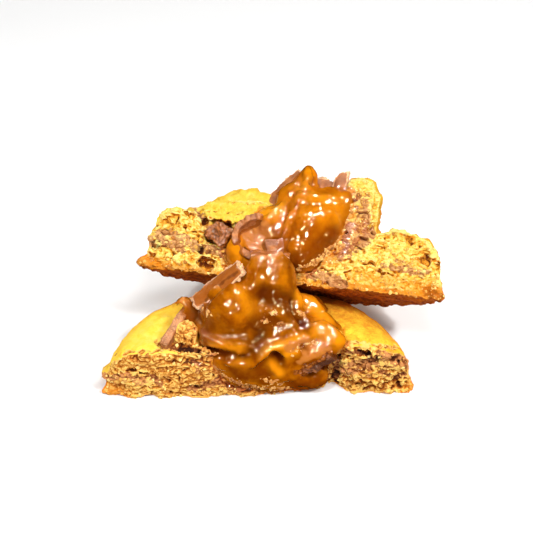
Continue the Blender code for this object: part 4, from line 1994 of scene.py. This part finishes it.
@dataclass(frozen=True)
class Studio:
    """A pale floor under soft white light.

    Args:
        floor_side: The floor's side, in metres.
        floor_colour: The floor's colour.
        patch_size: The size of its faint patches, in millimetres.
        sky: The strength of the white sky.
        lamps: The lamps that light the pile.
        sparkles: Where the small lamps stand that only gloss shows: azimuth and elevation.
        sparkle_side: Their size, in metres.
        sparkle_power: Their power, in watts.
    """

    floor_side: float = 6.0
    floor_colour: Colour = (0.90, 0.90, 0.90, 1.0)
    patch_size: float = 60.0
    sky: float = 0.32
    lamps: tuple[SoftLight, ...] = (
        SoftLight("key_light", -36.0, 58.0, 0.055, 1.6),
        SoftLight("right_light", 44.0, 52.0, 0.050, 1.8),
        SoftLight("top_light", 75.0, 68.0, 0.25, 5.2, distance=1.2),
        SoftLight("front_light", 6.0, 56.0, 0.050, 0.60),
    )
    sparkles: tuple[Bearing, ...] = (
        (-10.0, 24.0), (-30.0, 60.0), (-7.0, 64.0), (26.0, 56.0),
        (-100.0, 55.0), (100.0, 55.0), (180.0, 50.0),
    )
    sparkle_side: float = 0.030
    sparkle_power: float = 2.2

    def set_up(self) -> None:
        """Adds the floor, the sky and the lamps."""
        bpy.ops.mesh.primitive_plane_add(size=self.floor_side)
        floor = new_primitive("pale_floor")
        graph = Graph("pale_floor")
        patches = graph.noise(self.patch_size)
        colour = graph.mix(patches * 0.04, self.floor_colour, WHITE)
        floor.data.materials.append(graph.surface(Base_Color=colour, Roughness=0.9))
        floor.visible_glossy = False
        world = bpy.data.worlds.new("white_sky")
        world.use_nodes = True
        sky = world.node_tree.nodes["Background"]
        sky.inputs["Color"].default_value = WHITE
        sky.inputs["Strength"].default_value = self.sky
        world.cycles_visibility.glossy = False
        bpy.context.scene.world = world
        for lamp in self.lamps:
            lamp.set_up()
        for number, (around, above) in enumerate(self.sparkles):
            SoftLight(
                f"sparkle_{number}", around, above, self.sparkle_side, self.sparkle_power,
                mirrored=True, lighting=False,
            ).set_up()
        bpy.context.scene.view_settings.view_transform = "Standard"


# -------- this cookie's marks

# Strokes that follow the photograph. Beads and clods are single pixels.

FRONT_DOUGH_FINISH = DoughFinish(name="front_baked_dough")
BACK_DOUGH_FINISH = DoughFinish(
    name="back_baked_dough", pale_crust=shade(255, 225, 116), crust=shade(252, 211, 74),
    deep_crust=shade(246, 186, 46), pale_crumb=shade(255, 236, 138), crumb=shade(253, 204, 84),
    deep_crumb=shade(230, 148, 38), crumb_in_shade=shade(104, 44, 8), crust_relief=2.0,
    pale_cocoa=shade(220, 156, 100), cocoa=shade(176, 110, 62), cocoa_in_shade=shade(78, 36, 14),
)
BACK_CARAMEL_FINISH = CaramelFinish(
    name="back_caramel", amber=shade(170, 86, 4), light_amber=shade(206, 118, 8),
    deep=shade(104, 40, 2), thin=shade(238, 150, 18), milky=shade(190, 116, 52),
)

STICKY_CRUMB_FINISH = CrumbFinish(
    name="sticky_crumb", wet=0.8, pale=shade(236, 184, 104), gold=shade(206, 132, 52),
    toasted=shade(146, 82, 34),
)

# The front half's dough: clods at its coarse right end, lumps and clefts, melted chocolate,
# soaked dough, and crumb that shows in front of the crust
FRONT_CLODS = (
    (352, 352), (363, 357), (374, 351), (386, 357), (397, 352), (406, 362), (350, 368),
    (357, 378), (368, 370), (380, 368), (392, 372), (402, 380), (346, 384), (363, 387),
    (377, 380), (388, 387), (396, 364), (410, 374),
)
CLOD_REACH = 2.1
CLOD_RISE = 1.0
FRONT_RELIEF = (
    *(Stroke((clod,), CLOD_REACH, CLOD_RISE) for clod in FRONT_CLODS),
    Stroke(((338, 356), (336, 368), (334, 380)), 2.2, -1.4),
    Stroke(((180, 347), (197, 350), (216, 352)), 1.3, -1.5),
    Stroke(((345, 334), (352, 331), (358, 335), (364, 338)), 0.8, -1.3),
    Stroke(((347, 345), (356, 343), (367, 347)), 2.2, 0.9),
    Stroke(((122, 372), (133, 371)), 1.0, -1.4),
    Stroke(((141, 373), (148, 374)), 0.8, -1.2),
    Stroke(((348, 356), (356, 352), (366, 354)), 1.5, -1.2),
    Stroke(((388, 350), (394, 349)), 1.0, -1.2),
    Stroke(((350, 367), (364, 362), (378, 361)), 2.0, -1.4),
    Stroke(((384, 368), (398, 366)), 1.6, -1.2),
    Stroke(((356, 376), (370, 373), (384, 376)), 1.6, 0.8),
    Stroke(((396, 360), (404, 362)), 1.5, -1.2),
)
FRONT_COCOA = (
    Stroke(((102, 374), (112, 378), (125, 376), (140, 379), (153, 378), (161, 384)), 1.7, 1.0, 0.4),
    Stroke(((193, 388), (205, 384), (222, 381), (240, 388), (262, 386), (286, 384)), 2.4, 1.0, 0.3),
    Stroke(((168, 347), (182, 350), (200, 352), (222, 357)), 1.3, 0.9, 0.3),
    Stroke(((186, 362), (200, 366), (196, 372)), 1.4, 0.7, 0.3),
    Stroke(((343, 372), (355, 366), (372, 360), (388, 358), (402, 362), (413, 368)), 3.2, 1.2, 0.4),
    Stroke(((334, 352), (336, 362), (338, 374)), 2.0, 0.9, 0.3),
    Stroke(((346, 352), (360, 352), (372, 354)), 1.6, 0.9, 0.3),
    Stroke(((380, 372), (396, 376), (404, 374)), 1.8, 0.7, 0.3),
)
FRONT_SOAKED = (
    Stroke(((270, 384), (290, 388)), 3.0, 0.9),
    Stroke(((196, 360), (222, 375), (240, 388)), 2.0, 0.5),
)
FRONT_OPENED = (
    Stroke(((187, 322), (190, 328), (190, 336)), 3.6, 1.0, 0.6),
    Stroke(((164, 343), (178, 346), (196, 349), (214, 352)), 3.2, 1.0, 0.6),
    Stroke(((108, 357), (122, 352), (140, 351), (160, 350)), 1.3, 0.9),
    Stroke(((346, 345), (356, 343), (370, 345), (390, 346), (406, 346)), 1.4, 0.9, 0.3),
)

# The back half's dough: crust that hangs over the tear, lumps and clefts, melted chocolate,
# soaked dough and the browner foot
BACK_HEALED = (
    Stroke(((204, 208), (216, 207), (230, 208), (246, 210), (262, 208)), 3.0, 0.7, 0.7),
    Stroke(((206, 214), (222, 215), (238, 219), (250, 218), (264, 218)), 2.4, 0.8, 0.6),
)
BACK_RELIEF = (
    Stroke(((203, 222), (214, 223), (226, 224), (238, 229)), 1.3, -1.6),
    Stroke(((203, 262), (210, 266)), 2.4, -2.8),
    Stroke(((200, 250), (207, 252)), 1.5, -1.4),
    Stroke(((143, 262), (148, 264)), 3.2, 1.6),
    Stroke(((197, 205), (200, 212), (203, 218)), 2.0, -1.8),
    Stroke(((148, 230), (154, 227)), 2.0, -1.0),
    Stroke(((150, 244), (158, 243)), 1.5, -2.0),
    Stroke(((149, 238), (158, 235), (165, 238)), 1.6, 0.9),
    Stroke(((163, 216), (172, 213)), 2.6, 0.9),
    Stroke(((186, 214), (192, 216)), 1.8, -0.9),
    Stroke(((212, 199), (222, 197), (234, 197)), 2.4, 0.8),
    Stroke(((240, 193), (246, 195)), 1.8, -0.9),
    Stroke(((250, 190), (256, 191)), 2.2, 1.0),
    Stroke(((262, 194), (270, 198)), 2.4, 0.8),
    Stroke(((384, 236), (392, 236)), 1.8, -0.8),
    Stroke(((396, 232), (404, 234)), 2.4, 1.0),
    Stroke(((408, 238), (412, 240)), 1.8, -0.9),
    Stroke(((428, 246), (434, 256)), 2.2, 0.9),
    Stroke(((436, 262), (438, 270)), 2.0, -0.9),
)
BACK_COCOA = (
    Stroke(((148, 240), (153, 236), (161, 234), (166, 240)), 1.6, 1.0, 0.4),
    Stroke(((194, 208), (198, 213), (203, 219)), 1.4, 1.0, 0.3),
    Stroke(((362, 198), (364, 214), (361, 230)), 4.2, 0.62, 0.4),
    Stroke(((398, 262), (410, 268), (422, 276)), 2.2, 0.6, 0.3),
    Stroke(((152, 243), (160, 241), (170, 244), (182, 248)), 2.4, 1.2, 0.3),
    Stroke(((160, 232), (172, 234), (184, 238), (196, 246)), 2.4, 1.1, 0.3),
    Stroke(((203, 248), (214, 250), (225, 253)), 2.2, 1.0, 0.4),
    Stroke(((365, 200), (367, 216), (366, 232)), 1.7, 1.0, 0.3),
    Stroke(((372, 234), (362, 241), (352, 247), (343, 255)), 3.2, 0.9, 0.3),
    Stroke(((350, 226), (345, 240)), 2.0, 0.9, 0.3),
    Stroke(((383, 266), (398, 268), (412, 272), (428, 272)), 1.6, 0.9, 0.3),
    Stroke(((296, 268), (310, 272), (325, 277), (342, 284)), 2.8, 1.0, 0.4),
)
BACK_SOAKED = (
    Stroke(((362, 228), (350, 242), (336, 252), (318, 262)), 4.2, 0.8, 0.3),
    Stroke(((208, 228), (224, 234), (236, 246)), 3.0, 0.8, 0.3),
)
BACK_SCORCHED = (
    Stroke(((352, 276), (380, 280), (408, 284), (434, 286)), 3.6, 0.34, 0.3),
    Stroke(((395, 262), (415, 262), (430, 268)), 3.0, 0.26, 0.3),
    Stroke(((346, 286), (366, 290), (390, 294), (412, 296), (436, 298)), 2.4, 0.62, 0.3),
    Stroke(((428, 292), (440, 297)), 3.6, 0.85, 0.3),
)

# The front caramel: folds and hollows, beads, deep places and painted shade, thin places and
# painted light, and milky streaks
FRONT_FOLDS = (
    Stroke(((226, 296), (236, 318)), 8.5, 1.4),
    Stroke(((207, 300), (222, 287), (238, 275)), 2.2, -1.5),
    Stroke(((262, 286), (265, 302), (262, 320)), 3.2, -0.9),
    Stroke(((268, 290), (278, 293), (288, 297)), 3.0, -0.5),
    Stroke(((274, 300), (282, 310), (290, 320)), 4.0, 0.9),
    Stroke(((198, 324), (205, 337), (222, 343), (243, 345)), 1.9, 1.1),
    Stroke(((206, 351), (222, 354), (240, 357), (250, 354)), 2.2, -1.9),
    Stroke(((232, 362), (246, 372), (262, 374)), 7.0, 1.3),
    Stroke(((228, 360), (242, 354), (258, 356)), 1.8, 0.9),
    Stroke(((252, 362), (266, 352), (280, 346), (298, 340), (312, 335)), 2.6, 1.5),
    Stroke(((255, 340), (270, 328), (288, 322)), 3.0, -1.4),
    Stroke(((274, 354), (280, 360)), 2.0, -2.6),
    Stroke(((272, 364), (278, 372), (284, 378)), 2.6, 1.0),
    Stroke(((297, 298), (309, 300), (320, 312), (327, 320)), 4.2, 1.5),
    Stroke(((293, 302), (296, 314), (302, 322)), 2.0, -1.7),
    Stroke(((302, 304), (310, 314)), 1.0, -0.7),
    Stroke(((316, 326), (330, 331), (340, 340)), 4.2, 1.6),
    Stroke(((312, 322), (322, 320), (334, 326)), 1.4, -0.9),
    Stroke(((303, 347), (305, 350)), 1.8, -2.4),
    Stroke(((292, 352), (304, 358), (318, 352)), 3.6, 1.0),
    Stroke(((318, 362), (330, 366), (340, 360)), 2.8, -2.2),
    Stroke(((296, 378), (312, 384), (326, 382)), 3.4, 0.8),
    Stroke(((262, 306), (272, 312), (280, 318)), 2.2, 0.8),
    Stroke(((250, 258), (268, 257), (287, 253)), 1.3, 0.9),
    Stroke(((254, 270), (270, 272), (284, 272)), 4.5, -0.5),
)
FRONT_BEADS = (
    (262, 262), (267, 258), (272, 264), (276, 259), (280, 268), (284, 262), (270, 272),
    (278, 277), (284, 283), (266, 281), (273, 284), (222, 294), (226, 297), (231, 302),
    (228, 307), (248, 283), (252, 287), (256, 291), (198, 343), (204, 344), (210, 342),
    (219, 339), (228, 341), (236, 343), (227, 357), (232, 355), (238, 353), (245, 322),
    (258, 329), (262, 334), (274, 322), (279, 325), (283, 331), (290, 327), (296, 333),
    (301, 338), (310, 331), (316, 323), (288, 343), (265, 345), (334, 342), (286, 356),
    (262, 365), (249, 380), (254, 384),
)
# Thick caramel and painted shade: under the bulge, in the folds, beside the block and round the
# chunk
FRONT_DEEP_AND_SHADED = (
    Stroke(((289, 262), (291, 280), (294, 300)), 1.7, 0.6, 0.2),
    Stroke(((258, 322), (262, 334), (256, 346)), 6.0, 0.85),
    Stroke(((234, 372), (246, 376), (262, 374)), 5.0, 0.5, 0.2),
    Stroke(((212, 322), (222, 328), (236, 330)), 4.0, 0.35),
    Stroke(((268, 318), (290, 322), (304, 326)), 3.6, 0.5),
    Stroke(((262, 292), (272, 296), (286, 300), (291, 312)), 4.6, 0.85, 0.2),
    Stroke(((288, 306), (294, 318), (302, 326)), 2.4, 0.8, 0.2),
    Stroke(((244, 336), (250, 344), (258, 350)), 3.2, 0.7, 0.2),
    Stroke(((206, 350), (224, 354), (246, 356)), 2.4, 0.8, 0.2),
    Stroke(((272, 352), (282, 362)), 2.4, 0.9, 0.2),
    Stroke(((228, 382), (244, 388), (262, 390)), 3.6, 0.4),
    Stroke(((318, 362), (336, 366), (342, 356)), 4.0, 0.9, 0.2),
    Stroke(((298, 386), (328, 386)), 4.6, 0.6),
    Stroke(((200, 318), (205, 326), (225, 336), (240, 338)), 4.4, 0.4),
    Stroke(((250, 300), (256, 314)), 3.6, 0.3),
)
# Thin caramel and painted light on the lit tops and ridges
FRONT_THIN_AND_LIT = (
    Stroke(((238, 290), (246, 300), (250, 310)), 3.6, 0.6),
    Stroke(((264, 352), (280, 345), (298, 340), (312, 345)), 3.2, 0.9),
    Stroke(((272, 364), (280, 374)), 2.8, 0.9),
    Stroke(((298, 298), (312, 302), (326, 320)), 4.0, 0.9),
    Stroke(((320, 328), (338, 340)), 5.0, 0.85),
    Stroke(((212, 345), (240, 348)), 2.0, 0.8),
    Stroke(((286, 355), (296, 350)), 2.4, 0.9),
    Stroke(((234, 364), (243, 362)), 2.4, 0.4),
    Stroke(((256, 262), (270, 263), (284, 266), (282, 279), (264, 280)), 3.6, 0.15),
)
FRONT_MILKY = (
    Stroke(((290, 348), (302, 342), (316, 344)), 3.0, 0.9, 0.2),
    Stroke(((304, 352), (318, 346), (328, 350)), 2.4, 0.9, 0.2),
    Stroke(((300, 362), (312, 356), (326, 352)), 2.0, 0.8, 0.2),
    Stroke(((250, 257), (268, 256), (287, 252)), 1.0, 1.0, 0.4),
    Stroke(((256, 264), (270, 266), (284, 268)), 3.6, 0.4),
)

# Where crumbs stick in the front caramel and along the edge of the lake
CAUGHT_CRUMBS = (
    Stroke(((265, 311), (271, 314)), 1.5, 1.0),
    Stroke(((264, 320), (272, 322), (280, 325)), 1.2, 0.8),
    Stroke(((298, 312), (303, 316)), 1.3, 0.8),
    Stroke(((294, 352), (304, 346), (316, 342)), 1.8, 0.5),
    Stroke(((200, 308), (206, 312), (212, 314)), 1.2, 0.5),
    Stroke(((207, 360), (216, 370), (228, 378), (244, 385), (262, 388), (284, 388)), 2.2, 0.6),
    Stroke(((262, 379), (272, 382), (284, 383)), 1.6, 0.5),
)
EDGE_CRUMBS = (
    Stroke(((352, 214), (348, 228), (340, 240), (330, 250), (316, 262), (300, 268)), 1.5, 1.0),
)

# The back half's caramel, from its peak down to the lake
BACK_FOLDS = (
    Stroke(((306, 174), (308, 186)), 3.0, 0.5),
    Stroke(((292, 214), (286, 232), (280, 246)), 2.0, 1.1),
    Stroke(((297, 212), (291, 230), (288, 250)), 1.6, -0.5),
    Stroke(((299, 194), (298, 206), (294, 220)), 2.6, 0.7),
    Stroke(((282, 206), (272, 216), (262, 226)), 2.4, 0.8),
    Stroke(((305, 196), (330, 198), (346, 196)), 3.0, 0.4),
    Stroke(((300, 204), (324, 205), (344, 208)), 3.0, -0.4),
    Stroke(((315, 183), (324, 185), (334, 187)), 2.9, -2.6),
    Stroke(((299, 184), (303, 192)), 1.8, -0.3),
    Stroke(((316, 174), (319, 184)), 1.6, -0.9),
    Stroke(((348, 191), (350, 203), (345, 220)), 3.0, 0.8),
    Stroke(((304, 222), (318, 214), (330, 216)), 5.0, 0.7),
    Stroke(((300, 236), (314, 227), (326, 216)), 10.0, 1.5),
    Stroke(((296, 256), (310, 256), (324, 244)), 3.6, -0.7),
    Stroke(((301, 175), (303, 179)), 1.5, -0.7),
    Stroke(((308, 169), (309, 172)), 1.4, 0.7),
    Stroke(((313, 171), (314, 174)), 1.1, -0.5),
    Stroke(((311, 178), (314, 182)), 1.3, 0.6),
    Stroke(((330, 236), (318, 250), (304, 262)), 2.6, 0.8),
    Stroke(((290, 250), (300, 256)), 4.0, 0.6),
    Stroke(((254, 232), (262, 242)), 4.0, -1.4),
)
BACK_BEADS = (
    (305, 172), (310, 170), (314, 174), (312, 179), (306, 181), (303, 187), (309, 187),
    (300, 214), (295, 216), (312, 224), (299, 229), (321, 211), (292, 240), (296, 236),
    (297, 222), (301, 219), (305, 221), (309, 218), (303, 225), (308, 229), (311, 212),
    (316, 207), (318, 214), (313, 215), (337, 209), (288, 230), (285, 236), (290, 224),
    (282, 242), (288, 249), (276, 212), (274, 230), (331, 197), (290, 193), (259, 238),
    (262, 243), (256, 231),
)
# Thick caramel and painted shade at the lake's low end and along its right edge
BACK_DEEP_AND_SHADED = (
    Stroke(((296, 262), (308, 260), (322, 248), (334, 236)), 6.4, 0.85, 0.25),
    Stroke(((350, 204), (346, 218), (340, 230)), 3.0, 0.5),
    Stroke(((300, 240), (312, 232), (324, 232)), 5.0, 0.4),
    Stroke(((274, 232), (278, 240), (284, 250)), 3.2, 0.4),
    Stroke(((352, 196), (352, 208), (346, 222)), 2.4, 0.4),
    Stroke(((284, 208), (300, 204), (318, 205)), 2.6, 0.3),
)
# Thin caramel and painted light on the lake's lit places
BACK_THIN_AND_LIT = (
    Stroke(((262, 213), (270, 211), (279, 207)), 3.4, 0.9, 0.3),
    Stroke(((306, 200), (322, 196), (338, 200)), 4.0, 0.35),
    Stroke(((305, 172), (306, 186), (300, 196)), 4.0, 0.4),
    Stroke(((340, 196), (345, 206), (338, 222)), 4.4, 0.4),
    Stroke(((232, 240), (240, 256)), 4.0, 0.4),
)
BACK_MILKY = (
    Stroke(((248, 226), (256, 236), (264, 248)), 4.6, 1.0, 0.7),
    Stroke(((258, 222), (270, 232)), 3.0, 0.8, 0.3),
)

# The chocolate, from the left of the front half to the back
SHARDS = (
    ShellShard(
        "chocolate_wall_left", FRONT_HALF, (15.5, 9.5, 2.8), (-28.3, 7.4, 20.4),
        along=(0.46, 0.83, 0.28), face=(-0.86, 0.46, 0.16), curl=30.0, rounding=30,
        chipped=0.5,
    ),
    ShellShard(
        "chocolate_shell_front", FRONT_HALF, (20.0, 6.0, 2.1), (-15.0, 11.6, 34.8),
        along=(0.75, 0.12, 0.64), face=(-0.60, -0.44, 0.66), curl=6.0, glazed=1.0,
        rim_line=0.84, rugged=0.2,
        # Painted shade along the line where the shell's face meets its broken edge
        shaded=(
            Stroke(((206, 300), (214, 290), (225, 280), (237, 272)), 0.7, 0.7, 0.3),
            Stroke(((214, 286), (224, 277)), 0.5, 0.5),
        ),
    ),
    ChocolateChunk(
        "chocolate_block_middle", FRONT_HALF, (12.2, 4.6, 14.0), (0.8, 17.0, 35.4),
        seed=2.0, glazed=0.9, turned=(-14.0, 2.0, -3.0),
    ),
    ChocolateChunk(
        "chocolate_chunk_front", FRONT_HALF, (14.0, 5.5, 5.6), (14.8, 1.0, 13.8),
        seed=5.0, glazed=0.25, turned=(8.0, -28.0, 8.0), rugged=1.9,
        # Painted shade on the chunk's shadowed side
        shaded=(Stroke(((319, 366), (328, 362), (338, 358)), 2.8, 1.3, 0.4),),
    ),
    ShellBowl(
        "chocolate_shell_back", BACK_HALF, (7.4, 6.8, 6.4), (-11.6, -2.3, 13.3),
        chipped=0.35, rugged=0.5,
    ),
    ChocolateChunk(
        "chocolate_flake_back", BACK_HALF, (6.0, 2.4, 4.6), (-6.2, 0.2, 11.2),
        seed=3.3, turned=(6.0, -14.0, 4.0), rugged=0.5,
    ),
    ShellShard(
        "chocolate_peak_back", BACK_HALF, (15.0, 8.0, 2.0), (-5.5, 10.3, 31.3),
        along=(0.62, 0.0, 0.78), face=(-0.50, -0.80, 0.30), curl=10.0, jag=0.9,
    ),
    ShellShard(
        "chocolate_rim_back", BACK_HALF, (10.5, 10.0, 1.8), (5.8, 11.0, 32.0),
        along=(1.0, 0.0, 0.0), face=(0.0, -0.98, 0.20), curl=9.0, jag=1.1,
    ),
    ShellShard(
        "chocolate_prong_back", BACK_HALF, (12.0, 4.4, 1.8), (11.2, 8.2, 32.8),
        along=(0.16, 0.16, 1.0), face=(-0.35, -0.90, 0.10), curl=5.0, jag=0.9,
    ),
    ChocolateChunk(
        "chocolate_chunk_back", BACK_HALF, (7.0, 6.0, 6.2), (-24.2, 2.6, 13.5),
        seed=7.7, glazed=0.6, turned=(0.0, 24.0, -6.0), rugged=1.4,
    ),
)


def main() -> None:
    """Builds the cookie's pieces in order."""
    logging.basicConfig(level=logging.INFO, format="%(name)s: %(message)s")
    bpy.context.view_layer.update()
    chocolate_finish = ChocolateFinish().material()
    crumb_finish = CrumbFinish().material()
    sticky_finish = STICKY_CRUMB_FINISH.material()

    front_flow = CaramelFlow(
        "front_caramel_flow", "front_caramel",
        FRONT_FOLDS, FRONT_BEADS, FRONT_DEEP_AND_SHADED, FRONT_THIN_AND_LIT, FRONT_MILKY,
    )
    back_lake = CaramelFlow(
        "back_caramel_lake", "back_caramel",
        BACK_FOLDS, BACK_BEADS, BACK_DEEP_AND_SHADED, BACK_THIN_AND_LIT, BACK_MILKY,
    )
    for flow, look in ((front_flow, CaramelFinish()), (back_lake, BACK_CARAMEL_FINISH)):
        flow.build()
        flow.dress(look.material())
        LOG.info("%s has run out", flow.name)
    caramel = [flow.skin.tree() for flow in (front_flow, back_lake)]

    front_dough = DoughHalf(
        "front_dough_baked", "front_dough",
        ("melted_chocolate_front_left", "melted_chocolate_front_right"),
        half=FRONT_HALF, seed=1.7, coarse=(0.85, 1.35),
        baked=(0.1, 0.6), opened=FRONT_OPENED, relief=FRONT_RELIEF, cocoa=FRONT_COCOA,
        soaked=FRONT_SOAKED, torn_foot=0.0,
    )
    back_dough = DoughHalf(
        "back_dough_baked", "back_dough",
        ("melted_chocolate_back_left", "melted_chocolate_back_right"),
        half=BACK_HALF, seed=6.1, coarse=(1.0, 0.7),
        baked=(0.15, 0.6), healed=BACK_HEALED, relief=BACK_RELIEF, cocoa=BACK_COCOA,
        soaked=BACK_SOAKED, scorched=BACK_SCORCHED, torn_foot=0.75, craggy=1.5,
        voxel=0.86,
    )
    finishes = (FRONT_DOUGH_FINISH.material(), BACK_DOUGH_FINISH.material())
    for number, (dough, finish) in enumerate(zip((front_dough, back_dough), finishes)):
        dough.build()
        dough.dress(caramel, finish)
        LOG.info("%s is baked", dough.name)
        for node in dough.pockets:
            MeltedPocket(node, dough.half, seed=dough.seed + 2.0).build(finish)
            LOG.info("%s is melted in", node)
        loose = CrumbScatter(
            f"{dough.name}_crumbs", count=700, sizes=(0.18, 0.60), seed=31 + number
        )
        loose.build(loose.spots(dough.skin, dough.torn ** 2), crumb_finish)
        LOG.info("%s lie on it", loose.name)

    caught = CrumbScatter("crumbs_in_caramel", count=300, sizes=(0.3, 1.1), seed=57, sink=0.7)
    stuck = CrumbScatter("crumbs_on_the_lake", count=260, sizes=(0.25, 0.8), seed=71, sink=0.35)
    for scatter, skin, marks in (
        (caught, front_flow.skin, CAUGHT_CRUMBS),
        (stuck, back_lake.skin, EDGE_CRUMBS),
    ):
        places = scatter.spots(skin, skin.painted(marks, ragged=0.8))
        scatter.build(places, sticky_finish)
        LOG.info("%s stick to it", scatter.name)

    for shard in SHARDS:
        shard.build(caramel, chocolate_finish)
        LOG.info("%s stands", shard.node)

    Studio().set_up()
    VIEW.set_up()
    LOG.info("the studio is lit")


if __name__ == "__main__":
    main()
